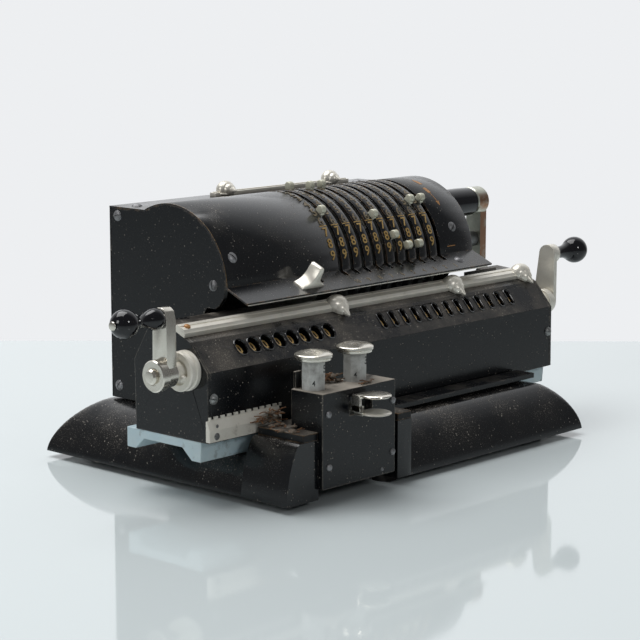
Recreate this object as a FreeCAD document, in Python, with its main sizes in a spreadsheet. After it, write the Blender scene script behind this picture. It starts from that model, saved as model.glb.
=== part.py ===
import FreeCAD, Part
import math
import os
import re

import Sketcher

# A pinwheel calculator: a fixed body with the setting drum, a sliding carriage with the
# number wheels in front of it, and a shift housing with two push buttons.
# X runs to the right along the front, Y to the back and Z up; the origin is the middle of the
# whole machine on the table. All sizes are in millimetres, measured from the middle of the base
# and from its rim, and every shape is moved from there to the origin when it is placed.

SIZES = {
    # Middle of the whole machine, seen from the middle of the base
    "middle_x": -1.55, "middle_y": -10.475,
    # Feet, which hold the rim of the base above the table
    "foot_height": 3.8, "foot_radius": 8.0, "foot_in": 24.0, "post_radius": 10.0,
    "post_foot_in": 15.0,
    # Registers
    "digit_pitch": 10.0, "slot_count": 10, "result_count": 13, "counter_count": 8,
    "first_slot_x": -12.4, "first_result_x": -4.3, "first_counter_x": -120.1,
    # Base casing and what is fixed on it
    "base_left": -133.4, "base_width": 264.8, "base_half_depth": 98.05, "base_top": 32.3, "front_land": 29.5,
    "flare_side": 27.0, "flare_front": 15.0, "flare_back": 27.5, "base_wall": 3.0,
    "low_step": 5.5, "mid_step": 11.7, "high_step": 21.6,
    "trough_front": -57.0, "trough_rise": 5.0, "trough_back": 8.0, "trough_floor": 20.2,
    "cheek_rise": 32.8, "cheek_lean": 10.0, "cheek_back": -64.0,
    "post_gap": 5.9, "post_width": 11.6, "ledge_thick": 4.3, "ledge_end": 13.0,
    "notch_back": -78.0, "rail_gap": 2.0, "front_rail_thick": 3.0, "front_rail_front": -75.0,
    "front_rail_back": -60.9, "front_rail_over": 1.5, "front_rail_foot": -68.0,
    # Body: side plates, covers and drum
    "body_left": -105.7, "body_width": 216.2, "side_thick": 2.5, "sheet_thick": 1.2, "back_y": 70.5,
    "flat_top": 145.0, "drum_y": 19.5, "drum_z": 104.5, "cover_radius": 45.7,
    "bend_angle": 3.0, "apron_front_y": -42.1, "apron_front_z": 99.8,
    "nose_y": -19.7, "nose_z": 95.8, "throat_z": 94.0, "throat_y": -10.0,
    "leg_y": 1.5, "leg_z": 75.0, "edge_gap": 3.0,
    "strip_width": 9.0, "slot_width": 3.4, "slot_front_y": -31.6, "slot_back_angle": 130.0,
    "shaft_radius": 5.0, "bush_radius": 9.0, "bush_length": 6.0, "running_gap": 0.08,
    "wheel_radius": 39.0, "wheel_thick": 4.7, "wheel_offset": 1.7, "pin_height": 3.0,
    "pin_radius": 1.6, "hub_radius": 10.0, "wheel_web_radius": 31.0, "wheel_web_thick": 2.0,
    "lever_thick": 2.4, "lever_disc_radius": 30.0, "lever_tip_radius": 50.2,
    "lever_tip_width": 6.5, "zero_angle": 96.1, "digit_angle": 9.1,
    "tie_radius": 3.6, "upper_tie_y": 63.5, "upper_tie_z": 139.8,
    "lower_tie_y": 64.1, "lower_tie_z": 39.7,
    # Marker rail on top of the body
    "rail_left": -30.0, "rail_right": 90.0, "rail_front": 60.0, "rail_depth": 5.0,
    "rail_height": 5.0, "marker_length": 9.0, "marker_wall": 2.4, "marker_gap": 0.2,
    "left_marker_x": -20.0, "right_marker_x": 73.5,
    # Main crank
    "arm_thick": 6.2, "arm_width": 12.0, "crank_radius": 25.1, "shaft_grip": 4.0,
    "arm_tail": 12.5, "boss_radius": 7.6, "boss_thick": 5.3, "handle_gap": 3.5,
    "handle_radius": 7.9, "handle_length": 48.5, "handle_pin_radius": 3.0,
    # Carriage
    "carriage_left": -153.0, "carriage_length": 303.0, "carriage_front": -59.6,
    "back_low_y": -2.7, "back_y_low": -2.0, "back_z_low": 71.1,
    "shoulder_y": -12.0, "shoulder_z": 87.6, "crown_y": -14.9, "crown_z": 92.0,
    "crest_y": -33.2, "crest_z": 90.6, "brow_y": -46.2, "brow_z": 85.0,
    "sill_y": -59.3, "sill_z": 69.9, "plate_thick": 2.0,
    "left_hood_end": -55.0, "right_hood_length": 21.0,
    "axle_y": -44.0, "axle_z": 70.0, "axle_radius": 2.5,
    "number_radius": 9.6, "number_width": 5.5, "pinion_radius": 8.3, "pinion_offset": 4.1,
    "idler_y": -27.8, "idler_z": 79.4, "idler_radius": 10.1, "idler_width": 2.2,
    "idler_axle_radius": 2.0, "tooth_depth": 1.4, "idler_teeth": 28, "pinion_teeth": 20,
    "result_window_width": 4.4, "result_window_height": 10.5,
    "counter_window_width": 7.8, "counter_window_height": 9.6,
    "window_y": -51.45, "window_z": 78.94,
    "bed_back": 4.9, "bed_front": -54.0, "bed_top": 31.9, "bed_under": 27.0,
    "bed_foot": 20.7, "bed_gap": 0.3, "rail_foot_front": -46.3, "rail_top_front": -39.0,
    "rail_top_back": -9.0, "rail_foot_back": -1.9,
    "bar_width": 8.0, "bar_thick": 4.0, "bar_start": 1.1,
    "bead_radius": 6.6, "bead_gap": 0.15,
    "first_bead_x": -31.0, "second_bead_x": 74.0, "third_bead_x": 142.0,
    "scale_over": 2.0, "scale_length": 55.0, "scale_bottom": 33.2, "scale_knee": 39.5,
    "scale_top": 44.6, "scale_depth": 2.9, "rack_top": 46.4, "rack_length": 55.0,
    "rack_thick": 1.2, "rack_pitch": 5.0, "rack_notch": 2.0,
    "carriage_home": -40.0, "carriage_end": 30.0,
    # Clearing cranks at both ends of the carriage
    "collar_radius": 11.0, "right_collar_radius": 8.0, "collar_length": 14.0, "groove_depth": 1.6, "groove_width": 3.0,
    "left_arm_gap": 17.0, "right_arm_gap": 14.4, "clear_arm_thick": 3.0,
    "clear_arm_width": 12.0, "right_arm_root": 16.0, "right_arm_head": 3.5,
    "clear_crank_radius": 30.3, "clear_hub_radius": 8.6,
    "clear_hub_length": 5.0, "clear_stub_radius": 4.0, "clear_stub_length": 3.0,
    "knob_radius": 7.7, "left_knob_length": 24.0, "right_knob_length": 23.0,
    "left_root_radius": 5.0, "left_bulge_radius": 6.0, "left_bulge_place": 3.5,
    "left_neck_radius": 2.95, "left_neck_place": 12.8,
    "right_root_radius": 4.6, "right_neck_radius": 3.8, "right_neck_place": 5.0,
    "knob_shoulder": 0.72, "knob_pin_radius": 1.5, "knob_cap_radius": 2.4,
    "knob_end_gap": 0.6, "knob_cap_length": 1.2,
    # Shift housing
    "block_in": 24.6, "block_width": 59.0, "block_front": -101.0,
    "block_bottom": 5.6, "block_top": 58.0, "block_wall": 1.5,
    "left_button_in": 8.4, "right_button_in": 41.7, "button_y": -86.5,
    "button_flats": 12.3, "button_gap": 0.2, "button_bottom": 30.0, "button_neck": 73.9,
    "cap_radius": 10.45, "cap_height": 6.4, "button_travel": 6.0,
    "blade_in": 1.8, "blade_width": 5.0, "blade_rise": 9.3,
    "pad_in": 32.3, "pad_y": -110.2, "pad_radius": 8.8, "pad_thick": 2.2,
    "pad_upper_z": 52.9, "pad_lower_z": 43.5, "pad_web": 1.6, "pad_web_in": 21.8,
    "upper_web_low": 46.0, "upper_web_high": 49.5, "lower_web_low": 45.0,
    "lower_web_high": 48.5, "lower_web_top": 49.0, "web_shift": 2.0, "web_width": 6.0,
    "pad_web_front": -108.0, "pad_web_back": -96.0, "pad_travel": 1.4,
    "hole_in": 21.4, "hole_width": 18.3, "hole_bottom": 43.3, "hole_top": 51.1,
    "rivet_radius": 2.0, "rivet_height": 1.2,
    # Thumb catch on the apron
    "catch_left": -57.0, "catch_length": 18.5, "catch_front": -37.0, "catch_width": 8.4,
    "catch_height": 12.5, "catch_travel": 6.0, "catch_stem": 2.6,
    # Screws
    "screw_radius": 3.2, "screw_height": 1.3,
}

# Places that follow from the sizes above
FOLLOWING = {
    "base_right": "base_left + base_width",
    "body_right": "body_left + body_width",
    "carriage_right": "carriage_left + carriage_length",
    "block_left": "base_left + block_in", "block_right": "block_left + block_width",
    "post_left": "block_right + post_gap", "post_right": "post_left + post_width",
    "hole_left": "block_left + hole_in", "hole_right": "hole_left + hole_width",
    "pad_x": "block_left + pad_in", "pad_web_x": "block_left + pad_web_in",
    "blade_x": "block_left + blade_in",
    "button_left_x": "block_left + left_button_in",
    "button_right_x": "block_left + right_button_in",
    "handle_start": "body_right + handle_gap",
    "boss_start": "handle_start + handle_length + 0.5",
    "arm_x": "boss_start + boss_thick",
    "scale_left": "carriage_left - scale_over",
    "right_hood_start": "carriage_right - right_hood_length",
}

doc = FreeCAD.newDocument("pinwheel_calculator")
sheet = doc.addObject("Spreadsheet::Sheet", "Sizes")
for row, (alias, value) in enumerate(SIZES.items(), start=1):
    sheet.set(f"A{row}", alias)
    sheet.set(f"B{row}", str(value))
    sheet.setAlias(f"B{row}", alias)
for row, (alias, text) in enumerate(FOLLOWING.items(), start=len(SIZES) + 1):
    sheet.set(f"A{row}", alias)
    sheet.set(f"B{row}", f"={text}")
    sheet.setAlias(f"B{row}", alias)
doc.recompute()
ALIASES = set(SIZES) | set(FOLLOWING)


class Sizes:
    """The sheet's values as plain numbers, for shapes that Part's own functions make."""

    def __getattr__(self, alias):
        return float(getattr(sheet, alias))


s = Sizes()
X_AXIS = FreeCAD.Vector(1, 0, 0)
Y_AXIS = FreeCAD.Vector(0, 1, 0)
Z_AXIS = FreeCAD.Vector(0, 0, 1)
ALONG_X = FreeCAD.Rotation(Y_AXIS, 90)
YZ_PLANE = FreeCAD.Rotation(Y_AXIS, Z_AXIS, X_AXIS, "ZXY")
XZ_PLANE = FreeCAD.Rotation(X_AXIS, Z_AXIS, -Y_AXIS, "ZXY")
XY_PLANE = FreeCAD.Rotation()
WORDS = re.compile(r"[a-z_]+")
sub_parts = {}


def formula(text):
    """An expression in which each size's name points at its cell in the sheet."""
    return WORDS.sub(lambda word: f"Sizes.{word[0]}" if word[0] in ALIASES else word[0], str(text))


def bind(thing, **properties):
    for name, text in properties.items():
        thing.setExpression(name, formula(text))


def place(thing, x, y, z, rotation=None):
    if rotation is not None:
        thing.Placement = FreeCAD.Placement(FreeCAD.Vector(), rotation)
    moved = (f"({x}) - middle_x", f"({y}) - middle_y", f"({z}) + foot_height")
    for axis, text in zip("xyz", moved):
        thing.setExpression(f"Placement.Base.{axis}", formula(text))
    return thing


def named(thing, label):
    """Marks an object as a finished sub-part, under the label that names its file."""
    thing.Label = label
    sub_parts[label] = thing
    return thing


def box(length, width, height, x, y, z):
    thing = doc.addObject("Part::Box", "Block")
    bind(thing, Length=length, Width=width, Height=height)
    return place(thing, x, y, z)


def rod(radius, length, x, y, z, rotation=ALONG_X):
    thing = doc.addObject("Part::Cylinder", "Rod")
    bind(thing, Radius=radius, Height=length)
    return place(thing, x, y, z, rotation)


def fuse(*things):
    joined = doc.addObject("Part::MultiFuse", "Joined")
    joined.Shapes = list(things)
    joined.Refine = True
    return joined


def common(*things):
    shared = doc.addObject("Part::MultiCommon", "Shared")
    shared.Shapes = list(things)
    return shared


def cut(base, *tools):
    result = doc.addObject("Part::Cut", "Cut")
    result.Base = base
    result.Tool = tools[0] if len(tools) == 1 else fuse(*tools)
    return result


def prism(points, plane, direction, length, x=0, y=0, z=0):
    """A straight-sided prism: each corner is a pair of expressions in the sketch's plane."""
    sketch = doc.addObject("Sketcher::SketchObject", "Outline")
    total = len(points)
    for index in range(total):
        angle = 2 * math.pi * index / total
        following = 2 * math.pi * (index + 1) / total
        start = FreeCAD.Vector(math.cos(angle), math.sin(angle), 0)
        end = FreeCAD.Vector(math.cos(following), math.sin(following), 0)
        sketch.addGeometry(Part.LineSegment(start, end), False)
    for index in range(total):
        following = (index + 1) % total
        sketch.addConstraint(Sketcher.Constraint("Coincident", index, 2, following, 1))
    for index, (across, along) in enumerate(points):
        for kind, text in (("DistanceX", across), ("DistanceY", along)):
            number = sketch.addConstraint(Sketcher.Constraint(kind, index, 1, 1.0))
            sketch.setExpression(f"Constraints[{number}]", formula(text))
    place(sketch, x, y, z, plane)
    thing = doc.addObject("Part::Extrusion", "Prism")
    thing.Base = sketch
    thing.DirMode = "Custom"
    thing.Dir = direction
    thing.Solid = True
    bind(thing, LengthFwd=length)
    return thing


def feature(shape):
    thing = doc.addObject("Part::Feature", "Form")
    thing.Shape = shape
    return thing


def group(shapes):
    """Several separate solids of one kind, kept as one sub-part."""
    return feature(Part.makeCompound(list(shapes)))


def at(x, y, z):
    return FreeCAD.Vector(x - s.middle_x, y - s.middle_y, z + s.foot_height)


def outline_yz(steps, x):
    """A closed wire at x from corners (y, z); a step of two pairs is an arc through the first."""
    edges = []
    last = at(x, *steps[0])
    first = last
    for step in steps[1:]:
        if isinstance(step[0], tuple):
            middle = at(x, *step[0])
            end = at(x, *step[1])
            edges.append(Part.Arc(last, middle, end).toShape())
        else:
            end = at(x, *step)
            edges.append(Part.makeLine(last, end))
        last = end
    if last.distanceToPoint(first) > 1e-6:
        edges.append(Part.makeLine(last, first))
    return Part.Wire(edges)


def slab(steps, x, length):
    """A prism along X whose outline may hold arcs."""
    return Part.Face(outline_yz(steps, x)).extrude(FreeCAD.Vector(length, 0, 0))


def disc(radius, x, length, y, z):
    return Part.makeCylinder(radius, length, at(x, y, z), X_AXIS)


def on_drum(radius, degrees):
    """A point at a radius and an angle up from the front horizontal about the drum's axis."""
    angle = math.radians(degrees)
    return (s.drum_y - radius * math.cos(angle), s.drum_z + radius * math.sin(angle))


def slot_x(index):
    return s.first_slot_x + s.digit_pitch * index


def toothed(radius, depth, teeth, x, width, y, z, bore):
    """A gear wheel with plain trapezoid teeth, bored for its axle."""
    corners = []
    step = 2 * math.pi / teeth
    for tooth in range(teeth):
        for share, reach in ((0.0, -depth), (0.28, -depth), (0.42, 0.0), (0.58, 0.0), (0.72, -depth)):
            angle = step * (tooth + share)
            size = radius + reach
            corners.append(at(x, y + size * math.cos(angle), z + size * math.sin(angle)))
    corners.append(corners[0])
    wheel = Part.Face(Part.makePolygon(corners)).extrude(FreeCAD.Vector(width, 0, 0))
    return wheel.cut(disc(bore, x - 1, width + 2, y, z))


# Base casing

def flare(inward):
    """The skirt from side to side: steep at the foot, then rounded over to the sloping top."""
    rises = [("0", "0"), ("0.6", "low_step"), ("0.15 * flare_side", "mid_step"),
             ("0.42 * flare_side", "high_step"), ("flare_side", f"base_top - ({inward})")]
    left = [(f"base_left + {run} + ({inward})", rise) for run, rise in rises]
    right = [(f"base_right - {run} - ({inward})", rise) for run, rise in reversed(rises)]
    return prism(left + right, XZ_PLANE, Y_AXIS, "2 * base_half_depth", 0, "-base_half_depth")


def depth_profile(inward):
    """The skirt from front to back; the front is shorter and ends in a flat land."""
    corners = [("-base_half_depth", "0", 1),
               ("-base_half_depth + 0.6", "low_step", 1),
               ("-base_half_depth + 2.6", "mid_step", 1),
               ("-base_half_depth + 7.5", "high_step", 1),
               ("-base_half_depth + flare_front", "front_land", 1),
               ("trough_front", "front_land", 1),
               ("trough_front + trough_rise", "base_top", 1),
               ("base_half_depth - flare_back", "base_top", -1),
               ("base_half_depth - 0.43 * flare_back", "high_step", -1),
               ("base_half_depth - 0.13 * flare_back", "mid_step", -1),
               ("base_half_depth - 0.6", "low_step", -1),
               ("base_half_depth", "0", -1)]
    points = []
    for across, along, side in corners:
        drop = 0 if along in ("0", "low_step", "mid_step", "high_step") else inward
        points.append((f"{across} + {side} * ({inward})", f"{along} - ({drop})"))
    return prism(points, YZ_PLANE, X_AXIS, "base_width", "base_left")


def cheek(left, right, lean, rise):
    """An upright lug of the casing at the front, beside the shift housing."""
    corners = [(left, "0"), (f"{left} + 0.05 * {lean}", "low_step"),
               (f"{left} + 0.25 * {lean}", "0.45 * cheek_rise"),
               (f"{left} + 0.6 * {lean}", "0.75 * cheek_rise"),
               (f"{left} + {lean}", rise), (right, rise), (right, "0")]
    solid = prism(corners, XZ_PLANE, Y_AXIS, "base_half_depth + cheek_back", 0, "-base_half_depth")
    hollow = box(f"{right} - ({left}) - {lean} - 2 * base_wall",
                 "base_half_depth + cheek_back - 2 * base_wall", f"{rise} - base_wall",
                 f"{left} + {lean} + base_wall", "-base_half_depth + base_wall", "0")
    return cut(solid, hollow)


def base_casing():
    outer = common(flare("0"), depth_profile("0"))
    inner = common(flare("base_wall"), depth_profile("base_wall"))
    shell = cut(outer, inner)
    trough_shell = box("base_width", "trough_back - trough_front + 2 * base_wall",
                       "base_top - trough_floor + base_wall", "base_left",
                       "trough_front - base_wall", "trough_floor - base_wall")
    notch_shell = box("post_left - block_left", "base_wall", "base_top",
                      "block_left", "notch_back", "0")
    posts = [rod("post_radius", "base_top", across, f"{along} * (base_half_depth - foot_in)",
                 "0", XY_PLANE)
             for across in ("base_left + foot_in", "base_right - foot_in") for along in (-1, 1)]
    solid = fuse(shell, common(outer, trough_shell), common(outer, notch_shell),
                 common(outer, fuse(*posts)),
                 cheek("base_left", "block_left", "cheek_lean", "cheek_rise"),
                 cheek("post_left", "post_right", "0", "cheek_rise"))
    trough = box("base_width + 2", "trough_back - trough_front", "base_top",
                 "base_left - 1", "trough_front", "trough_floor")
    notch = box("post_left - block_left", "base_half_depth + notch_back + 5", "base_top + 2",
                "block_left", "-base_half_depth - 5", "-1")
    return named(cut(solid, trough, notch), "base_casing")


def ledge_plate():
    """The thick plate across the front of the base, cut out around the shift housing."""
    plate = box("post_right - base_left - ledge_end", "base_half_depth + cheek_back",
                "ledge_thick", "base_left + ledge_end", "-base_half_depth", "cheek_rise")
    notch = box("post_left - block_left", "base_half_depth + notch_back + 1", "ledge_thick + 2",
                "block_left", "-base_half_depth - 1", "cheek_rise - 1")
    return named(cut(plate, notch), "front_ledge")


def front_rail():
    """The guide strip right of the housing, over a shadow gap above the skirt."""
    strip = box("body_right + front_rail_over - post_right", "front_rail_back - front_rail_front",
                "front_rail_thick", "post_right", "front_rail_front", "front_land + rail_gap")
    foot = box("body_right - post_right", "cheek_back - front_rail_foot", "rail_gap",
               "post_right", "front_rail_foot", "front_land")
    return named(fuse(strip, foot), "front_rail")


def guide_rail():
    corners = [("rail_foot_front + bed_gap", "trough_floor"),
               ("rail_top_front + bed_gap", "bed_under - bed_gap"),
               ("rail_top_back - bed_gap", "bed_under - bed_gap"),
               ("rail_foot_back - bed_gap", "trough_floor")]
    return named(prism(corners, YZ_PLANE, X_AXIS, "body_width", "body_left"), "guide_rail")


def base_feet():
    feet = []
    for x in (s.base_left + s.foot_in, s.base_right - s.foot_in):
        for side in (-1, 1):
            centre = at(x, side * (s.base_half_depth - s.foot_in), -s.foot_height)
            feet.append(Part.makeCylinder(s.foot_radius, s.foot_height, centre, Z_AXIS))
    centre = at((s.post_left + s.post_right) / 2, -s.base_half_depth + s.post_foot_in,
                -s.foot_height)
    feet.append(Part.makeCylinder(s.foot_radius - 1, s.foot_height, centre, Z_AXIS))
    return named(group(feet), "base_feet")


# Body

def body_corners(inward):
    """The covers' outline from the back over the top to the bend above the apron."""
    radius = s.cover_radius - inward
    top = s.flat_top - inward
    rise = top - s.drum_z
    meet = s.drum_y + math.sqrt(radius ** 2 - rise ** 2)
    return meet, top, on_drum(radius, 90.0), on_drum(radius, s.bend_angle)


def side_plate(label, x, drilled):
    meet, top, crown, bend = body_corners(s.sheet_thick)
    edge = s.back_y - s.sheet_thick
    steps = [(edge, s.base_top), (edge, top), (meet, top), (crown, bend),
             (s.nose_y - 4.1, s.nose_z + 4.7), (s.nose_y, s.nose_z),
             (s.nose_y + s.edge_gap, s.throat_z), (s.throat_y, s.throat_z),
             (s.leg_y, s.leg_z), (s.leg_y, s.base_top)]
    plate = slab(steps, x, s.side_thick)
    if drilled:
        plate = plate.cut(disc(s.bush_radius, x - 1, s.side_thick + 2, s.drum_y, s.drum_z))
    return named(feature(plate), label)


def apron_line(distance, below):
    """A point on the apron's slope, a distance back from its front edge and below its outside."""
    run = FreeCAD.Vector(0, on_drum(s.cover_radius, s.bend_angle)[0] - s.apron_front_y,
                         on_drum(s.cover_radius, s.bend_angle)[1] - s.apron_front_z)
    run.normalize()
    return (s.apron_front_y + run.y * distance + run.z * below,
            s.apron_front_z + run.z * distance - run.y * below)


def inner_bend():
    """Where the apron's underside meets the inside of the round cover."""
    start = apron_line(0, s.sheet_thick)
    ahead = apron_line(1, s.sheet_thick)
    across = (start[0] - s.drum_y, start[1] - s.drum_z)
    along = (ahead[0] - start[0], ahead[1] - start[1])
    radius = s.cover_radius - s.sheet_thick
    half = across[0] * along[0] + across[1] * along[1]
    rest = across[0] ** 2 + across[1] ** 2 - radius ** 2
    return apron_line(-half - math.sqrt(half ** 2 - rest), s.sheet_thick)


def top_cover():
    meet, top, crown, bend = body_corners(0.0)
    meet_in, top_in, crown_in, bend_in = body_corners(s.sheet_thick)
    steps = [(s.back_y, top_in), (s.back_y, top), (meet, top), (crown, bend),
             apron_line(0, 0), apron_line(0, s.sheet_thick), inner_bend(),
             (crown_in, (meet_in, top_in))]
    shell = slab(steps, s.body_left, s.body_width)
    slots = []
    for index in range(int(s.slot_count)):
        left = slot_x(index) - s.slot_width / 2
        back = on_drum(s.cover_radius + 1, s.slot_back_angle)[0]
        slots.append(Part.makeBox(s.slot_width, back - s.slot_front_y, s.cover_radius + 10,
                                  at(left, s.slot_front_y, s.drum_z - 6)))
    track = Part.makeBox(s.catch_length - 4 + s.catch_travel, s.catch_stem + 0.6, 12,
                         at(s.catch_left + 2, s.catch_front + 3, s.apron_front_z - 2))
    return named(feature(shell.cut(slots + [track])), "top_cover")


def rear_cover():
    panel = box("body_width", "sheet_thick", "flat_top - sheet_thick - base_top",
                "body_left", "back_y - sheet_thick", "base_top")
    return named(panel, "rear_cover")


def apron_strip():
    under = s.sheet_thick
    steps = [apron_line(0.6, under), apron_line(s.strip_width, under),
             apron_line(s.strip_width, under + s.sheet_thick),
             apron_line(0.6, under + s.sheet_thick)]
    strip = slab(steps, s.body_left + s.side_thick, s.body_width - 2 * s.side_thick)
    track = Part.makeBox(s.catch_length + s.catch_travel, s.catch_stem + 3, 14,
                         at(s.catch_left, s.catch_front + 2, s.apron_front_z - 6))
    return named(feature(strip.cut(track)), "apron_strip")


def tie_rods():
    inside = s.body_width - 2 * s.side_thick
    rods = [disc(s.tie_radius, s.body_left + s.side_thick, inside, y, z)
            for y, z in ((s.upper_tie_y, s.upper_tie_z), (s.lower_tie_y, s.lower_tie_z))]
    return named(group(rods), "tie_rods")


def bearing_bushes():
    bushes = []
    for x in (s.body_left + s.side_thick, s.body_right - s.bush_length):
        ring = disc(s.bush_radius, x, s.bush_length, s.drum_y, s.drum_z)
        bushes.append(ring.cut(disc(s.shaft_radius + s.running_gap, x - 1, s.bush_length + 2,
                                    s.drum_y, s.drum_z)))
    return named(group(bushes), "bearing_bushes")


def top_rail():
    rail = box("rail_right - rail_left", "rail_depth", "rail_height",
               "rail_left", "rail_front", "flat_top")
    return named(rail, "top_marker_rail")


def top_marker(label, middle):
    """A saddle that slides along the rail on top of the body."""
    wide = "rail_depth + 2 * marker_gap + 2 * marker_wall"
    saddle = box("marker_length", wide, "rail_height + marker_wall - 0.6",
                 f"{middle} - marker_length / 2", "rail_front - marker_gap - marker_wall",
                 "flat_top + 0.6")
    tunnel = box("marker_length + 2", "rail_depth + 2 * marker_gap", "rail_height + marker_gap",
                 f"{middle} - marker_length / 2 - 1", "rail_front - marker_gap", "flat_top")
    pin = rod("marker_wall", "marker_wall", middle, "rail_front + rail_depth / 2",
              "flat_top + rail_height + marker_wall - 0.2", XY_PLANE)
    return named(cut(fuse(saddle, pin), tunnel), label)


def thumb_catch():
    """A wave-shaped thumb piece on the apron, with a stem through the apron's track."""
    left = s.catch_left
    right = left + s.catch_length
    low = s.apron_front_z - 2
    high = s.apron_front_z + 2.8 + s.catch_height
    start = at(left, s.catch_front, low)
    corners = ((left, low + 6), (left + 0.3 * s.catch_length, low + 7.0),
               (left + 0.56 * s.catch_length, high), (left + 0.68 * s.catch_length, high + 0.4),
               (right - 1.0, low + 7.5), (right, low))
    points = [start] + [at(x, s.catch_front, z) for x, z in corners] + [start]
    solid = Part.Face(Part.makePolygon(points)).extrude(FreeCAD.Vector(0, s.catch_width, 0))
    below = slab([apron_line(-9, -0.05), apron_line(22, -0.05), apron_line(22, 20),
                  apron_line(-9, 20)], left - 1, s.catch_length + 2)
    stem = slab([apron_line(9.2, -0.5), apron_line(9.2 + s.catch_stem, -0.5),
                 apron_line(9.2 + s.catch_stem, 2.0), apron_line(9.2, 2.0)],
                left + 4, s.catch_length - 8)
    return named(feature(solid.cut(below).fuse(stem).removeSplitter()), "thumb_catch")


def dome(centre, direction, radius, height):
    """A shallow screw or rivet head on a flat or gently curved face."""
    ball_radius = (radius ** 2 + height ** 2) / (2 * height)
    along = FreeCAD.Vector(direction)
    along.normalize()
    middle = centre - along * (ball_radius - height)
    lowest = math.degrees(math.asin((ball_radius - height) / ball_radius))
    return Part.makeSphere(ball_radius, middle, along, lowest, 90, 360)


def housing_rivets():
    spots = ((s.block_left + 4.8, s.block_top - 11.6), (s.block_right - 2.1, s.block_top - 11.6),
             (s.block_left + 5.3, s.block_bottom + 11.7), (s.block_right - 2.1, s.block_bottom + 11.6))
    heads = [dome(at(x, s.block_front, z), Y_AXIS * -1, s.rivet_radius, s.rivet_height)
             for x, z in spots]
    heads.append(dome(at(s.block_right - 10.8, s.block_front, s.block_bottom + 3.1), Y_AXIS * -1,
                      s.rivet_radius * 0.6, s.rivet_height * 0.6))
    return heads


def body_screws():
    """Screw heads of the covers and side plates, and the rivets of the shift housing."""
    heads = housing_rivets()
    for x, side in ((s.body_left, -1), (s.body_right, 1)):
        for y, z in ((s.upper_tie_y, s.upper_tie_z), (s.lower_tie_y, s.lower_tie_z),
                     (-15.4, 107.1)):
            heads.append(dome(at(x, y, z), X_AXIS * side, s.screw_radius, s.screw_height))
    for x in (s.body_left + 8.2, s.body_right - 16.0):
        y, z = on_drum(s.cover_radius, 23.4)
        outward = FreeCAD.Vector(0, y - s.drum_y, z - s.drum_z)
        heads.append(dome(at(x, y, z), outward, s.screw_radius, s.screw_height))
    for x in (s.body_left + 10.2, s.body_right - 15.0):
        heads.append(dome(at(x, s.back_y - 12.6, s.flat_top), Z_AXIS, s.screw_radius,
                          s.screw_height))
    y, z = apron_line(9.4, 0)
    tilt = FreeCAD.Vector(0, apron_line(0, -1)[0] - apron_line(0, 0)[0],
                          apron_line(0, -1)[1] - apron_line(0, 0)[1])
    heads.append(dome(at(s.body_right - 22.3, y, z), tilt, s.screw_radius, s.screw_height))
    return named(group(heads), "body_screws")


# Setting drum and main crank

def main_shaft():
    start = "body_left + side_thick"
    return named(rod("shaft_radius", f"arm_x + shaft_grip - ({start})", start, "drum_y", "drum_z"),
                 "main_shaft")


SETTINGS = (5, 0, 1, 1, 6, 8, 9, 9, 5, 5)


def pinwheel_drum():
    """Ten pinwheels on one sleeve; each shows as many pins as its lever is set to."""
    first = slot_x(0) + s.wheel_offset
    last = slot_x(int(s.slot_count) - 1) + s.wheel_offset + s.wheel_thick
    sleeve = disc(s.hub_radius, first - 3, last - first + 6, s.drum_y, s.drum_z)
    parts = [sleeve.cut(disc(s.shaft_radius, first - 4, last - first + 8, s.drum_y, s.drum_z))]
    for index, digit in enumerate(SETTINGS):
        x = slot_x(index) + s.wheel_offset
        wheel = disc(s.wheel_radius, x, s.wheel_thick, s.drum_y, s.drum_z)
        hollow = disc(s.wheel_web_radius, x + s.wheel_web_thick, s.wheel_thick, s.drum_y, s.drum_z)
        bore = disc(s.hub_radius, x - 1, s.wheel_thick + 2, s.drum_y, s.drum_z)
        pins = []
        for number in range(digit):
            y, z = on_drum(s.wheel_radius - 1, 180 + 12 * number)
            outward = FreeCAD.Vector(0, y - s.drum_y, z - s.drum_z)
            pins.append(Part.makeCylinder(s.pin_radius, s.pin_height + 1,
                                          at(x + s.wheel_thick / 2, y, z), outward))
        wheel = wheel.cut([hollow, bore])
        parts.append(wheel.fuse(pins) if pins else wheel)
    return named(group(parts), "pinwheel_drum")


def setting_lever(index, digit):
    """A setting ring beside its pinwheel, with the lever that stands out through the slot."""
    x = slot_x(index) - s.lever_thick / 2
    ring = disc(s.lever_disc_radius, x, s.lever_thick, s.drum_y, s.drum_z)
    angle = s.zero_angle - s.digit_angle * digit
    half = math.degrees(s.lever_tip_width / 2 / s.lever_tip_radius)
    root = math.degrees(s.lever_tip_width / 2 / s.lever_disc_radius)
    steps = [on_drum(s.lever_disc_radius - 4, angle - root),
             on_drum(s.lever_tip_radius - 2, angle - half * 0.7),
             (on_drum(s.lever_tip_radius, angle), on_drum(s.lever_tip_radius - 2, angle + half * 0.7)),
             on_drum(s.lever_disc_radius - 4, angle + root)]
    lever = ring.fuse(slab(steps, x, s.lever_thick))
    bore = disc(s.hub_radius + s.running_gap, x - 1, s.lever_thick + 2, s.drum_y, s.drum_z)
    return named(feature(lever.cut(bore).removeSplitter()), f"setting_lever_{index + 1:02d}")


def crank_arm():
    """The flat arm of the main crank, with the round head that holds its handle's spindle."""
    half = "arm_width / 2"
    top = "drum_z + crank_radius"
    arm = box("arm_thick", "arm_width", "crank_radius + arm_tail", "arm_x",
              f"drum_y - {half}", "drum_z - arm_tail")
    tail = rod(half, "arm_thick", "arm_x", "drum_y", "drum_z - arm_tail")
    head = rod("boss_radius", "arm_thick + boss_thick", "boss_start", "drum_y", top)
    spindle = rod("handle_pin_radius", "arm_x - handle_start + 1", "handle_start", "drum_y", top)
    bore = rod("shaft_radius", "shaft_grip + 1", "arm_x - 1", "drum_y", "drum_z")
    return named(cut(fuse(arm, tail, head, spindle), bore), "crank_arm")


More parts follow.
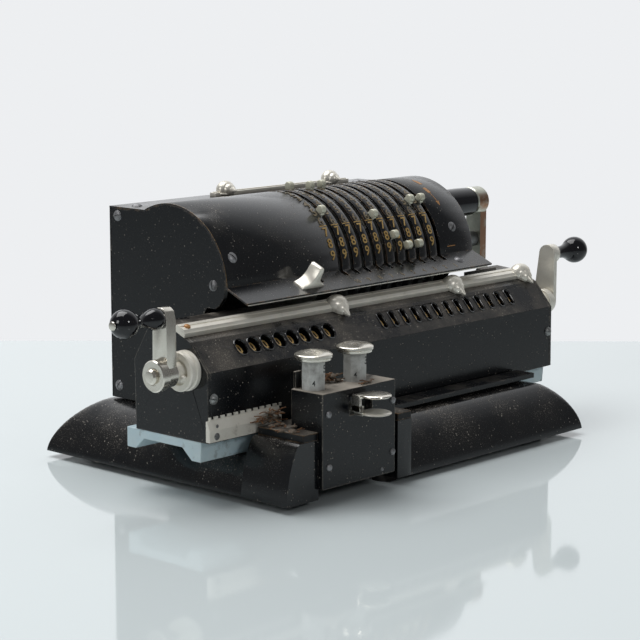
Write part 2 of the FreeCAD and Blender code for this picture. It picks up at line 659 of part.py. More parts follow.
def crank_handle():
    top = "drum_z + crank_radius"
    grip = rod("handle_radius", "handle_length", "handle_start", "drum_y", top)
    bore = rod("handle_pin_radius + running_gap", "handle_length + 2", "handle_start - 1",
               "drum_y", top)
    return named(cut(grip, bore), "crank_handle")


# Carriage

def carriage_bed():
    """The long casting under the carriage, with a foot on both sides of the guide rail."""
    corners = [("bed_back", "bed_top"), ("bed_back", "bed_foot"), ("rail_foot_back", "bed_foot"),
               ("rail_top_back", "bed_under"), ("rail_top_front", "bed_under"),
               ("rail_foot_front", "bed_foot"),
               ("bed_front + 0.8", "bed_foot"), ("bed_front", "bed_top")]
    return named(prism(corners, YZ_PLANE, X_AXIS, "carriage_right - carriage_left",
                       "carriage_left"), "carriage_bed")


def end_plate(label, x):
    corners = [("back_low_y", "bed_top"), ("back_y_low", "back_z_low"),
               ("shoulder_y", "shoulder_z"), ("crown_y", "crown_z"), ("crest_y", "crest_z"),
               ("brow_y", "brow_z"), ("sill_y", "sill_z"), ("carriage_front", "bed_top")]
    plate = prism(corners, YZ_PLANE, X_AXIS, "plate_thick", x)
    axle = rod("axle_radius", "plate_thick + 2", f"{x} - 1", "axle_y", "axle_z")
    idler = rod("idler_axle_radius", "plate_thick + 2", f"{x} - 1", "idler_y", "idler_z")
    return named(cut(plate, axle, idler), label)


def window(x, width, height):
    """A rounded opening square to the sloping face above the number wheels."""
    slope = FreeCAD.Vector(0, s.brow_y - s.sill_y, s.brow_z - s.sill_z)
    slope.normalize()
    normal = X_AXIS.cross(slope)
    reach = (height - width) / 2
    centre = at(x, s.window_y, s.window_z)
    if reach < 0.1:
        reach = 0.1
    shapes = [Part.makeCylinder(width / 2, 12, centre + slope * step - normal * 6, normal)
              for step in (-reach, reach)]
    corners = [centre + X_AXIS * (side * width / 2) + slope * (step * reach) - normal * 6
               for side, step in ((-1, -1), (1, -1), (1, 1), (-1, 1), (-1, -1))]
    middle = Part.Face(Part.makePolygon(corners)).extrude(normal * 12)
    return shapes[0].fuse([shapes[1], middle])


def carriage_cover():
    """The bent sheet over the number wheels, open at the back where the drum dips in."""
    sheet_in = s.sheet_thick
    left = s.carriage_left + s.plate_thick
    length = s.carriage_right - s.carriage_left - 2 * s.plate_thick
    steps = [(s.carriage_front, s.bed_top), (s.sill_y, s.sill_z), (s.brow_y, s.brow_z),
             (s.crest_y, s.crest_z), (s.crest_y + 2.4, s.crest_z + 0.18),
             (s.crest_y + 2.4, s.crest_z + 0.18 - sheet_in),
             (s.crest_y + 0.3, s.crest_z - sheet_in), (s.brow_y + 0.75, s.brow_z - sheet_in * 1.1),
             (s.sill_y + 1.2, s.sill_z - 0.5), (s.carriage_front + sheet_in, s.bed_top)]
    shell = slab(steps, left, length)
    openings = [window(s.first_result_x + s.digit_pitch * index, s.result_window_width,
                       s.result_window_height) for index in range(int(s.result_count))]
    openings += [window(s.first_counter_x + s.digit_pitch * index, s.counter_window_width,
                        s.counter_window_height) for index in range(int(s.counter_count))]
    return named(feature(shell.cut(openings)), "carriage_cover")


def hood(label, start, end):
    """A closed stretch of the carriage's top and back, clear of the setting drum."""
    thick = s.sheet_thick
    outer = [(s.crest_y + 2.45, s.crest_z + 0.18), (s.crown_y, s.crown_z),
             (s.shoulder_y, s.shoulder_z), (s.back_y_low, s.back_z_low), (s.back_low_y, s.bed_top)]
    inner = [(s.back_low_y - thick, s.bed_top), (s.back_y_low - thick, s.back_z_low - 0.4),
             (s.shoulder_y - thick, s.shoulder_z - 0.7), (s.crown_y - 0.9, s.crown_z - thick),
             (s.crest_y + 2.45, s.crest_z + 0.18 - thick)]
    return named(feature(slab(outer + inner, start, end - start)), label)


def slope_frame():
    slope = FreeCAD.Vector(0, s.brow_y - s.crest_y, s.brow_z - s.crest_z)
    slope.normalize()
    normal = slope.cross(X_AXIS)
    if normal.z < 0:
        normal = normal * -1
    return slope, normal


def bar_corners(grow, below):
    """The marker bar's section on the slope behind the windows, grown by a clearance."""
    slope, normal = slope_frame()
    crest = FreeCAD.Vector(0, s.crest_y, s.crest_z)
    first = crest + slope * (s.bar_start - grow)
    last = crest + slope * (s.bar_start + s.bar_width + grow)
    top = normal * (s.bar_thick + grow)
    points = (first - normal * below, last - normal * below, last + top, first + top)
    return [(point.y, point.z) for point in points]


def marker_bar():
    length = s.carriage_right - s.carriage_left
    return named(feature(slab(bar_corners(0, 0), s.carriage_left, length)), "marker_bar")


def bead(label, x):
    """A domed decimal marker that straddles the bar."""
    slope, normal = slope_frame()
    crest = FreeCAD.Vector(0, s.crest_y, s.crest_z)
    middle = crest + slope * (s.bar_start + s.bar_width / 2) + normal * (s.bar_thick / 2)
    dome_shape = Part.makeSphere(s.bead_radius, at(x, middle.y, middle.z))
    low = crest + normal * 0.4
    floor = [low - slope * 20, low + slope * 30, low + slope * 30 - normal * 20,
             low - slope * 20 - normal * 20]
    ground = slab([(point.y, point.z) for point in floor], x - 20, 40)
    tunnel = slab(bar_corners(s.bead_gap, 1), x - 20, 40)
    return named(feature(dome_shape.cut(tunnel).cut(ground)), label)


def scale_bar():
    front = "carriage_front - scale_depth"
    corners = [("carriage_front", "scale_bottom"), (front, "scale_bottom"), (front, "scale_knee"),
               ("carriage_front - 0.9", "scale_top"), ("carriage_front", "scale_top")]
    return named(prism(corners, YZ_PLANE, X_AXIS, "scale_length", "scale_left"), "scale_bar")


def notch_rack():
    """A thin toothed strip above the scale bar, which the shift mechanism catches."""
    strip = Part.makeBox(s.rack_length, s.rack_thick * 0.7, s.rack_top - s.scale_top,
                         at(s.carriage_left, s.carriage_front - s.rack_thick * 0.7, s.scale_top))
    notches = []
    for index in range(int(s.rack_length / s.rack_pitch)):
        left = s.carriage_left + s.rack_pitch * (index + 0.3)
        notches.append(Part.makeBox(s.rack_notch, 4, 4, at(left, s.carriage_front - 3,
                                                           s.rack_top - 1.4)))
    return named(feature(strip.cut(notches)), "notch_rack")


def wheel_shaft():
    length = "carriage_right - carriage_left + left_arm_gap + right_arm_gap"
    return named(rod("axle_radius", length, "carriage_left - left_arm_gap", "axle_y", "axle_z"),
                 "wheel_shaft")


def idler_shaft():
    return named(rod("idler_axle_radius", "carriage_right - carriage_left", "carriage_left",
                     "idler_y", "idler_z"), "idler_shaft")


def idler_gears():
    wheels = []
    for index in range(int(s.result_count)):
        x = s.first_result_x + s.digit_pitch * index - s.pinion_offset - s.idler_width / 2
        wheels.append(toothed(s.idler_radius, s.tooth_depth, int(s.idler_teeth), x, s.idler_width,
                              s.idler_y, s.idler_z, s.idler_axle_radius + s.running_gap))
    return named(group(wheels), "idler_gears")


def number_wheels(label, first, count, geared):
    wheels = []
    bore = s.axle_radius + s.running_gap
    for index in range(int(count)):
        x = first + s.digit_pitch * index
        rim = disc(s.number_radius, x - s.number_width / 2, s.number_width, s.axle_y, s.axle_z)
        rim = rim.cut(disc(bore, x - s.number_width, 2 * s.number_width, s.axle_y, s.axle_z))
        if geared:
            start = x - s.pinion_offset - s.idler_width / 2
            width = s.pinion_offset + s.idler_width / 2 - s.number_width / 2
            rim = rim.fuse(toothed(s.pinion_radius, s.tooth_depth, int(s.pinion_teeth), start,
                                   width, s.axle_y, s.axle_z, bore))
        wheels.append(rim)
    return named(group(wheels), label)


def hub_collar(label, start, radius):
    """The grooved collar between an end plate and its clearing crank."""
    ring = disc(radius, start, s.collar_length, s.axle_y, s.axle_z)
    middle = start + (s.collar_length - s.groove_width) / 2
    groove = disc(radius + 1, middle, s.groove_width, s.axle_y, s.axle_z)
    groove = groove.cut(disc(radius - s.groove_depth, middle, s.groove_width, s.axle_y, s.axle_z))
    bore = disc(s.axle_radius, start - 1, s.collar_length + 2, s.axle_y, s.axle_z)
    return named(feature(ring.cut([groove, bore])), label)


def clearing_pin(inner, side, knob_length):
    """The pin that a clearing knob turns on, with the riveted cap that keeps the knob there."""
    outer = inner + side * s.clear_arm_thick
    centre = at(outer, s.axle_y, s.axle_z + s.clear_crank_radius)
    reach = knob_length + s.knob_radius + s.knob_end_gap
    pin = Part.makeCylinder(s.knob_pin_radius, reach, centre, X_AXIS * side)
    cap = Part.makeCylinder(s.knob_cap_radius, s.knob_cap_length,
                            centre + X_AXIS * (side * reach), X_AXIS * side)
    return [pin, cap]


def left_clearing_crank(inner):
    """The left arm: straight, with a stepped hub and a stub in front of it."""
    thick = s.clear_arm_thick
    start = inner - thick
    half = s.clear_arm_width / 2
    arm = Part.makeBox(thick, s.clear_arm_width, s.clear_crank_radius,
                       at(start, s.axle_y - half, s.axle_z))
    hub = disc(s.clear_hub_radius, start - s.clear_hub_length, s.clear_hub_length + thick,
               s.axle_y, s.axle_z)
    stub = disc(s.clear_stub_radius, start - s.clear_hub_length - s.clear_stub_length,
                s.clear_stub_length, s.axle_y, s.axle_z)
    head = disc(half, start, thick, s.axle_y, s.axle_z + s.clear_crank_radius)
    shapes = [hub, stub, head] + clearing_pin(inner, -1, s.left_knob_length)
    return named(feature(arm.fuse(shapes).removeSplitter()), "left_clearing_crank")


def right_clearing_crank(inner):
    """The right arm: wide at the root, tapering behind to a thick round head."""
    top = s.axle_z + s.clear_crank_radius
    half = s.clear_arm_width / 2
    front = s.axle_y - half
    steps = [(front, s.axle_z), (front, top), (s.axle_y + half, top),
             (front + s.right_arm_root, s.axle_z)]
    arm = slab(steps, inner, s.clear_arm_thick)
    middle = front + s.right_arm_root / 2
    root = disc(s.right_arm_root / 2, inner, s.clear_arm_thick, middle, s.axle_z)
    head = disc(half, inner, s.clear_arm_thick + s.right_arm_head, s.axle_y, top)
    reach = s.right_knob_length + s.right_arm_head
    shapes = [root, head] + clearing_pin(inner, 1, reach)
    return named(feature(arm.fuse(shapes).removeSplitter()), "right_clearing_crank")


def clearing_knob(label, start, side, length, neck):
    """A black ball knob on a waisted neck, given as places and radii, free on the arm's pin."""
    centre_z = s.axle_z + s.clear_crank_radius
    first = start + side * 0.2

    def rim(place, radius):
        return at(first + side * place, s.axle_y, centre_z + radius)

    bore = s.knob_pin_radius + s.running_gap
    bore_end = length + math.sqrt(s.knob_radius ** 2 - bore ** 2)
    shoulder = length - s.knob_shoulder * s.knob_radius
    shoulder_radius = s.knob_radius * math.sqrt(1 - s.knob_shoulder ** 2)
    waist = Part.BSplineCurve()
    waist.interpolate([rim(*step) for step in neck] + [rim(shoulder, shoulder_radius)])
    edges = [Part.makeLine(rim(0, bore), rim(*neck[0])), waist.toShape(),
             Part.Arc(rim(shoulder, shoulder_radius), rim(length, s.knob_radius),
                      rim(bore_end, bore)).toShape(),
             Part.makeLine(rim(bore_end, bore), rim(0, bore))]
    profile = Part.Face(Part.Wire(edges))
    solid = profile.revolve(at(first, s.axle_y, centre_z), X_AXIS, 360)
    return named(feature(solid), label)


def carriage_screws():
    heads = [dome(at(x, s.carriage_front, z), Y_AXIS * -1, s.screw_radius - 0.4, s.screw_height)
             for x, z in ((s.carriage_left + 4.0, 55.7), (s.carriage_right - 3.7, 54.2))]
    return named(group(heads), "carriage_screws")


# Shift housing

def octagon(flats, label_z, height, x):
    """An upright eight-sided column, by its width across flats."""
    radius = flats / 2 / math.cos(math.pi / 8)
    corners = [at(x + radius * math.cos(math.pi / 8 + math.pi / 4 * index),
                  s.button_y + radius * math.sin(math.pi / 8 + math.pi / 4 * index), label_z)
               for index in range(8)]
    corners.append(corners[0])
    return Part.Face(Part.makePolygon(corners)).extrude(FreeCAD.Vector(0, 0, height))


def shift_housing():
    left, right = s.block_left, s.block_right
    depth = s.notch_back - s.block_front
    height = s.block_top - s.block_bottom
    wall = s.block_wall
    solid = Part.makeBox(right - left, depth, height, at(left, s.block_front, s.block_bottom))
    inner = Part.makeBox(right - left - 2 * wall, depth, height - 2 * wall,
                         at(left + wall, s.block_front + wall, s.block_bottom + wall))
    opening = Part.makeBox(s.hole_right - s.hole_left, 4 * wall, s.hole_top - s.hole_bottom,
                           at(s.hole_left, s.block_front - wall, s.hole_bottom))
    wells = [octagon(s.button_flats + 2 * s.button_gap, s.block_top - 2 * wall, 4 * wall, x)
             for x in (s.button_left_x, s.button_right_x)]
    blade = Part.makeBox(s.blade_width, wall, s.blade_rise,
                         at(s.blade_x, s.notch_back - wall, s.block_top))
    shell = solid.cut([inner, opening] + wells).fuse(blade)
    return named(feature(shell), "shift_housing")


def shift_button(label, x):
    """An eight-sided push button under a round cap, sprung upwards."""
    column = octagon(s.button_flats, s.button_bottom, s.button_neck - s.button_bottom, x)
    brim = Part.makeCylinder(s.cap_radius, s.cap_height * 0.6, at(x, s.button_y, s.button_neck))
    crown = Part.makeCone(s.cap_radius, s.cap_radius * 0.8, s.cap_height * 0.4,
                          at(x, s.button_y, s.button_neck + s.cap_height * 0.6))
    return named(feature(column.fuse([brim, crown])), label)


def finger_pad(label, height, web_low, web_high, x_shift, low_end, high_end):
    """One of the two finger plates in front of the housing, with the web that carries it."""
    round_part = Part.makeCylinder(s.pad_radius, s.pad_thick, at(s.pad_x, s.pad_y, height))
    web_x = s.pad_web_x + x_shift
    strip = Part.makeBox(s.pad_x - web_x, s.web_width, s.pad_thick,
                         at(web_x, s.pad_web_front, height))
    outer = Part.makeBox(s.pad_web, s.web_width, high_end - low_end,
                         at(web_x, s.pad_web_front, low_end))
    inner = Part.makeBox(s.pad_web, s.pad_web_back - s.pad_web_front, web_high - web_low,
                         at(web_x, s.pad_web_front, web_low))
    return named(feature(round_part.fuse([strip, outer, inner]).removeSplitter()), label)


base_casing()
ledge_plate()
front_rail()
guide_rail()
base_feet()
side_plate("left_side_plate", s.body_left, False)
side_plate("right_side_plate", s.body_right - s.side_thick, True)
top_cover()
rear_cover()
apron_strip()
tie_rods()
bearing_bushes()
top_rail()
top_marker("top_marker_left", "left_marker_x")
top_marker("top_marker_right", "right_marker_x")
thumb_catch()
body_screws()
main_shaft()
pinwheel_drum()
for number, digit in enumerate(SETTINGS):
    setting_lever(number, digit)
crank_arm()
crank_handle()
carriage_bed()
end_plate("left_end_plate", "carriage_left")
end_plate("right_end_plate", "carriage_right - plate_thick")
carriage_cover()
hood("left_hood", s.carriage_left + s.plate_thick, s.left_hood_end)
hood("right_hood", s.right_hood_start, s.carriage_right - s.plate_thick)
marker_bar()
bead("carriage_marker_1", s.first_bead_x)
bead("carriage_marker_2", s.second_bead_x)
bead("carriage_marker_3", s.third_bead_x)
scale_bar()
notch_rack()
wheel_shaft()
idler_shaft()
idler_gears()
number_wheels("result_wheels", s.first_result_x, s.result_count, True)
number_wheels("counter_wheels", s.first_counter_x, s.counter_count, False)
hub_collar("left_hub_collar", s.carriage_left - s.collar_length, s.collar_radius)
hub_collar("right_hub_collar", s.carriage_right, s.right_collar_radius)
left_inner = s.carriage_left - s.left_arm_gap
right_inner = s.carriage_right + s.right_arm_gap
left_clearing_crank(left_inner)
right_clearing_crank(right_inner)
clearing_knob("left_clearing_knob", left_inner - s.clear_arm_thick, -1, s.left_knob_length,
              [(0, s.left_root_radius), (s.left_bulge_place, s.left_bulge_radius),
               (s.left_neck_place, s.left_neck_radius)])
clearing_knob("right_clearing_knob", right_inner + s.clear_arm_thick + s.right_arm_head, 1,
              s.right_knob_length, [(0, s.right_root_radius),
                                    (s.right_neck_place, s.right_neck_radius)])
carriage_screws()
shift_housing()
shift_button("left_shift_button", s.button_left_x)
shift_button("right_shift_button", s.button_right_x)
finger_pad("upper_finger_pad", s.pad_upper_z, s.upper_web_low, s.upper_web_high, 0.0,
           s.upper_web_low, s.pad_upper_z + s.pad_thick)
finger_pad("lower_finger_pad", s.pad_lower_z, s.lower_web_low, s.lower_web_high, s.web_shift,
           s.pad_lower_z, s.lower_web_top)

doc.recompute()
for thing in doc.Objects:
    if "Invalid" in thing.State or "Error" in thing.State:
        raise RuntimeError(f"{thing.Label} did not rebuild: {thing.State}")
os.makedirs("parts", exist_ok=True)
for label, thing in sub_parts.items():
    shape = thing.Shape
    if shape.isNull() or not shape.isValid() or not shape.Solids:
        raise RuntimeError(f"{label} has no valid solid")
    shape.exportStep(f"parts/{label}.step")
print(len(sub_parts), "sub-parts written")
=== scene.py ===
import math
import random

import bmesh
import bpy
from mathutils import Matrix, Vector


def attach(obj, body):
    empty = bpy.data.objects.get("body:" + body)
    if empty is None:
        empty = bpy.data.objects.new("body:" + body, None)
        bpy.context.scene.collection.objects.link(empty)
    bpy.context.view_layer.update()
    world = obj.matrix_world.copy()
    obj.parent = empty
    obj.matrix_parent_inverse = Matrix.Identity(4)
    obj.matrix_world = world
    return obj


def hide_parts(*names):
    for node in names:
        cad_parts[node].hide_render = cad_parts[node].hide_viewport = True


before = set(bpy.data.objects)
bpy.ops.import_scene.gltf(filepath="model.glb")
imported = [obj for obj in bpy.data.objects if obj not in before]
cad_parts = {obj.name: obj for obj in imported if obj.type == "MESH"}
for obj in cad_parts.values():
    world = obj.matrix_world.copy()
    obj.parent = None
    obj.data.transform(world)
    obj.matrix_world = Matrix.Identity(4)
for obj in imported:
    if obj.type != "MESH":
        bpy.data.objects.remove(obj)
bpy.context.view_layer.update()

# Sizes and places are in millimetres, seen from the middle of the base and from its rim

MIDDLE = Vector((-1.55, -10.475, -3.8))
MM = 0.001
DRUM_Y, DRUM_Z = 19.5, 104.5
AXLE_Y, AXLE_Z = -44.0, 70.0
COVER_RADIUS = 45.7
FIRST_SLOT = -12.4
PITCH = 10.0
SETTINGS = (5, 0, 1, 1, 6, 8, 9, 9, 5, 5)


def at(x, y, z):
    """A place on the machine, as a point of the frame in metres."""
    return (Vector((x, y, z)) - MIDDLE) * MM


def on_drum(radius, degrees):
    """Depth and height of a point at an angle up from the front, about the drum's axis."""
    angle = math.radians(degrees)
    return DRUM_Y - radius * math.cos(angle), DRUM_Z + radius * math.sin(angle)


# Material building blocks

class Paint:
    """A material under construction: adds nodes and joins them in one line each."""

    def __init__(self, name):
        self.material = bpy.data.materials.new(name)
        self.material.use_nodes = True
        self.tree = self.material.node_tree
        self.shader = self.tree.nodes["Principled BSDF"]
        self.place = self.add("ShaderNodeTexCoord").outputs["Object"]

    def add(self, kind, inputs=(), **settings):
        node = self.tree.nodes.new(kind)
        for key, value in settings.items():
            setattr(node, key, value)
        for key, value in dict(inputs).items():
            self.join(value, node.inputs[key])
        return node

    def join(self, value, socket):
        if isinstance(value, bpy.types.NodeSocket):
            self.tree.links.new(value, socket)
        else:
            socket.default_value = value

    def noise(self, scale, detail=4.0, rough=0.6, stretch=None):
        place = self.place
        if stretch:
            place = self.add("ShaderNodeMapping", {"Vector": place, "Scale": stretch}).outputs[0]
        node = self.add("ShaderNodeTexNoise",
                        {"Vector": place, "Scale": scale, "Detail": detail, "Roughness": rough})
        return node.outputs["Fac"]

    def cells(self, scale):
        node = self.add("ShaderNodeTexVoronoi", {"Vector": self.place, "Scale": scale})
        return node.outputs["Distance"]

    def ramp(self, value, low, high):
        node = self.add("ShaderNodeMapRange",
                        {"Value": value, "From Min": low, "From Max": high}, clamp=True)
        return node.outputs["Result"]

    def math(self, operation, first, second):
        return self.add("ShaderNodeMath", {0: first, 1: second}, operation=operation,
                        use_clamp=operation != "SUBTRACT").outputs[0]

    def times(self, first, second):
        return self.math("MULTIPLY", first, second)

    def most(self, first, second):
        return self.math("MAXIMUM", first, second)

    def mix(self, share, first, second):
        node = self.add("ShaderNodeMix", data_type="RGBA")
        self.join(share, node.inputs["Factor"])
        self.join(first, node.inputs["A"] if isinstance(first, float) else node.inputs[6])
        self.join(second, node.inputs[7])
        return node.outputs[2]

    def blend(self, share, first, second):
        node = self.add("ShaderNodeMix", data_type="FLOAT")
        self.join(share, node.inputs[0])
        self.join(first, node.inputs[2])
        self.join(second, node.inputs[3])
        return node.outputs[0]

    def facing_up(self, low=0.35, high=0.95):
        normal = self.add("ShaderNodeNewGeometry").outputs["Normal"]
        height = self.add("ShaderNodeSeparateXYZ", {0: normal}).outputs["Z"]
        return self.ramp(height, low, high)

    def edges(self, radius, low=0.02, high=0.12):
        """Strong at sharp edges: where a rounded normal departs from the true one."""
        soft = self.add("ShaderNodeBevel", {"Radius": radius}, samples=6).outputs[0]
        true = self.add("ShaderNodeNewGeometry").outputs["Normal"]
        match = self.add("ShaderNodeVectorMath", {0: soft, 1: true}, operation="DOT_PRODUCT")
        return self.ramp(self.math("SUBTRACT", 1.0, match.outputs["Value"]), low, high)

    def bump(self, height, strength, distance):
        node = self.add("ShaderNodeBump",
                        {"Height": height, "Strength": strength, "Distance": distance})
        self.join(node.outputs[0], self.shader.inputs["Normal"])

    def finish(self, colour, roughness, metal=0.0):
        self.join(colour, self.shader.inputs["Base Color"])
        self.join(roughness, self.shader.inputs["Roughness"])
        self.join(metal, self.shader.inputs["Metallic"])
        return self.material


def rgb(red, green, blue):
    return (red, green, blue, 1.0)


DUST = rgb(0.15, 0.13, 0.105)
PALE_DUST = rgb(0.30, 0.27, 0.23)
BARE_EDGE = rgb(0.42, 0.25, 0.12)
PALE_EDGE = rgb(0.40, 0.36, 0.30)


def enamel(name, dust=0.6, wear=0.5, gloss=0.16, shine=0.25, edge=PALE_EDGE, haze=0.6, dirt=DUST,
           black=rgb(0.0035, 0.0042, 0.0055)):
    """Black stove enamel, worn through at the edges, with dust on whatever faces up."""
    p = Paint(name)
    p.shader.inputs["Specular IOR Level"].default_value = shine
    blotch = p.noise(34, 8, 0.65)
    smudge = p.noise(120, 8, 0.75)
    lying = p.times(p.facing_up(0.15, 0.95), p.ramp(blotch, 0.62 - 0.3 * dust, 0.82 - 0.25 * dust))
    fine = p.ramp(p.math("SUBTRACT", p.cells(1300), p.times(lying, 0.42 * dust)), 0.11, 0.04)
    coarse = p.times(p.ramp(p.math("SUBTRACT", p.cells(400), p.times(lying, 0.12)), 0.16, 0.09),
                     p.ramp(p.noise(150, 3), 0.54 - 0.14 * dust, 0.60))
    film = p.most(p.times(lying, haze * dust), p.times(p.ramp(smudge, 0.55, 0.8), 0.05 * dust))
    specks = p.most(p.times(fine, 0.75), coarse)
    worn = p.times(p.edges(0.0011), p.ramp(p.noise(150, 6, 0.75), 0.66 - 0.3 * wear, 0.72))
    colour = p.mix(film, black, dirt)
    colour = p.mix(p.times(specks, min(1.0, 0.35 + 0.7 * dust)), colour, PALE_DUST)
    colour = p.mix(worn, colour, edge)
    rough = p.blend(p.most(film, specks), p.blend(smudge, gloss, gloss + 0.1), 0.9)
    p.bump(p.math("ADD", p.times(smudge, 0.15), specks), 0.2, 0.0003)
    return p.finish(colour, rough, p.times(worn, 0.6))


def nickel(name, tint=rgb(0.72, 0.69, 0.61), rough=0.22, tarnish=0.5, metal=0.85):
    """Old nickel plating: yellowed, scuffed, with brown tarnish in patches."""
    p = Paint(name)
    cloud = p.noise(70, 8, 0.7)
    fine = p.noise(900, 4, 0.7, (1.0, 1.0, 0.3))
    spots = p.times(p.ramp(cloud, 0.66 - 0.16 * tarnish, 0.82 - 0.12 * tarnish), 0.8)
    film = p.times(p.facing_up(0.4, 1.0), p.times(p.ramp(p.noise(260, 6), 0.55, 0.8), 0.3 * tarnish))
    colour = p.mix(p.times(p.ramp(cloud, 0.3, 0.7), 0.35), tint, rgb(0.48, 0.43, 0.34))
    colour = p.mix(spots, colour, rgb(0.20, 0.155, 0.10))
    colour = p.mix(film, colour, DUST)
    roughness = p.blend(p.most(spots, film), p.blend(fine, rough, rough + 0.16), 0.7)
    p.bump(fine, 0.12, 0.0002)
    return p.finish(colour, roughness, p.math("SUBTRACT", metal, film))


def copper_worn(name):
    """The crank's nickel, rubbed through to copper along its front edge."""
    p = Paint(name)
    normal = p.add("ShaderNodeNewGeometry").outputs["Normal"]
    front = p.math("MULTIPLY", p.add("ShaderNodeSeparateXYZ", {0: normal}).outputs["Y"], -1.0)
    bare = p.times(p.ramp(front, 0.75, 0.95), p.ramp(p.noise(110, 7, 0.7), 0.30, 0.50))
    cloud = p.noise(150, 7, 0.7)
    colour = p.mix(p.ramp(cloud, 0.35, 0.7), rgb(0.60, 0.60, 0.52), rgb(0.42, 0.43, 0.36))
    colour = p.mix(bare, colour, rgb(0.36, 0.20, 0.125))
    p.bump(cloud, 0.1, 0.0002)
    return p.finish(colour, p.blend(cloud, 0.22, 0.42), 0.88)


def grey_steel(name, tint=rgb(0.30, 0.31, 0.31), dark=rgb(0.13, 0.12, 0.105), metal=0.85):
    p = Paint(name)
    cloud = p.noise(120, 8, 0.7)
    scratch = p.noise(900, 5, 0.8, (1.0, 1.0, 0.12))
    colour = p.mix(p.ramp(cloud, 0.42, 0.7), tint, dark)
    colour = p.mix(p.times(p.ramp(scratch, 0.55, 0.75), 0.5), colour, rgb(0.5, 0.5, 0.48))
    p.bump(scratch, 0.15, 0.0002)
    return p.finish(colour, p.blend(scratch, 0.32, 0.6), metal)


def blue_casting(name):
    """Cast metal under pale blue-grey paint, greenish where it meets the cover."""
    p = Paint(name)
    cloud = p.noise(45, 8, 0.7)
    grain = p.noise(600, 5, 0.6)
    colour = p.mix(p.ramp(cloud, 0.35, 0.7), rgb(0.46, 0.60, 0.66), rgb(0.56, 0.66, 0.68))
    colour = p.mix(p.times(p.ramp(p.noise(130, 6), 0.58, 0.70), 0.6), colour, rgb(0.09, 0.09, 0.075))
    colour = p.mix(p.times(p.edges(0.0009), 0.5), colour, rgb(0.40, 0.42, 0.36))
    p.bump(grain, 0.2, 0.0003)
    return p.finish(colour, p.blend(cloud, 0.3, 0.5))


def ball_black(name):
    """Polished black knobs with a few dust specks."""
    p = Paint(name)
    cloud = p.noise(90, 6)
    specks = p.times(p.ramp(p.cells(900), 0.12, 0.06), p.ramp(p.noise(120, 3), 0.55, 0.62))
    colour = p.mix(p.times(specks, 0.6), rgb(0.004, 0.004, 0.006), PALE_DUST)
    return p.finish(colour, p.blend(p.ramp(cloud, 0.4, 0.7), 0.05, 0.12))


def rubber(name):
    p = Paint(name)
    colour = p.mix(p.ramp(p.noise(200, 6), 0.4, 0.7), rgb(0.014, 0.014, 0.014), rgb(0.05, 0.045, 0.04))
    p.bump(p.noise(700, 4), 0.3, 0.0003)
    return p.finish(colour, 0.75)


def gilt(name, fade=0.4, bright=rgb(0.56, 0.38, 0.14), deep=rgb(0.38, 0.23, 0.07)):
    """Gold figures filled into the enamel, partly rubbed off."""
    p = Paint(name)
    rub = p.ramp(p.noise(900, 6, 0.75), 0.66 - 0.3 * fade, 0.80 - 0.24 * fade)
    colour = p.mix(p.ramp(p.noise(300, 4), 0.3, 0.7), bright, deep)
    colour = p.mix(rub, colour, rgb(0.03, 0.024, 0.016))
    return p.finish(colour, p.blend(rub, 0.42, 0.7), 0.15)


def straw(name):
    p = Paint(name)
    colour = p.mix(p.ramp(p.noise(400, 5), 0.35, 0.65), rgb(0.26, 0.125, 0.05), rgb(0.075, 0.032, 0.014))
    return p.finish(colour, p.blend(p.noise(900, 3), 0.5, 0.85))


def lint_grey(name):
    """Felted dust with a coarse, matt surface."""
    p = Paint(name)
    grain = p.noise(1500, 5, 0.8)
    colour = p.mix(p.ramp(grain, 0.35, 0.65), rgb(0.16, 0.13, 0.10), rgb(0.06, 0.045, 0.032))
    p.bump(grain, 0.8, 0.0006)
    return p.finish(colour, p.blend(grain, 0.8, 1.0))


ENAMEL_COVER = enamel("cover_enamel", dust=0.5, wear=0.6, gloss=0.13, shine=0.6,
                      edge=BARE_EDGE, haze=0.35)
ENAMEL_SIDE = enamel("side_enamel", dust=0.5, wear=0.5, gloss=0.2, shine=0.35)
ENAMEL_BASE = enamel("base_enamel", dust=0.7, wear=0.35, gloss=0.12, shine=0.55, haze=0.25)
ENAMEL_LEDGE = enamel("ledge_enamel", dust=0.8, wear=1.0, gloss=0.25, edge=BARE_EDGE)
ENAMEL_BLOCK = enamel("block_enamel", dust=0.95, wear=1.0, gloss=0.2, shine=0.4, haze=1.5,
                      dirt=PALE_DUST)
ENAMEL_CARRIAGE = enamel("carriage_enamel", dust=0.8, wear=0.85, gloss=0.18, shine=0.42, haze=0.8)
NICKEL = nickel("yellowed_nickel", rgb(0.82, 0.79, 0.71), 0.24, 0.2, 0.45)
NICKEL_DULL = nickel("dull_nickel", rgb(0.84, 0.81, 0.73), 0.34, 0.4, 0.2)
NICKEL_BRIGHT = nickel("bright_nickel", rgb(0.76, 0.73, 0.66), 0.14, 0.15, 0.95)
IVORY_NICKEL = nickel("ivory_nickel", rgb(0.66, 0.66, 0.54), 0.36, 0.2, 0.45)
CRANK = copper_worn("copper_worn_nickel")
STEEL = grey_steel("grey_steel")
COLUMN = grey_steel("grey_column", rgb(0.56, 0.57, 0.55), rgb(0.24, 0.235, 0.22), 0.25)
SCREW = grey_steel("screw_steel", rgb(0.30, 0.30, 0.31), rgb(0.10, 0.10, 0.10), 0.8)
CASTING = blue_casting("blue_grey_casting")
BALL = ball_black("black_ball")
RUBBER = rubber("foot_rubber")
GILT = gilt("gilt_figures")
GILT_WORN = gilt("worn_gilt_figures", 0.75, rgb(0.30, 0.24, 0.15), rgb(0.17, 0.13, 0.08))
ORANGE = gilt("orange_marks", 0.2, rgb(0.42, 0.19, 0.05), rgb(0.30, 0.14, 0.04))
BRASS = gilt("bare_brass", 0.75, rgb(0.42, 0.27, 0.11), rgb(0.26, 0.15, 0.055))
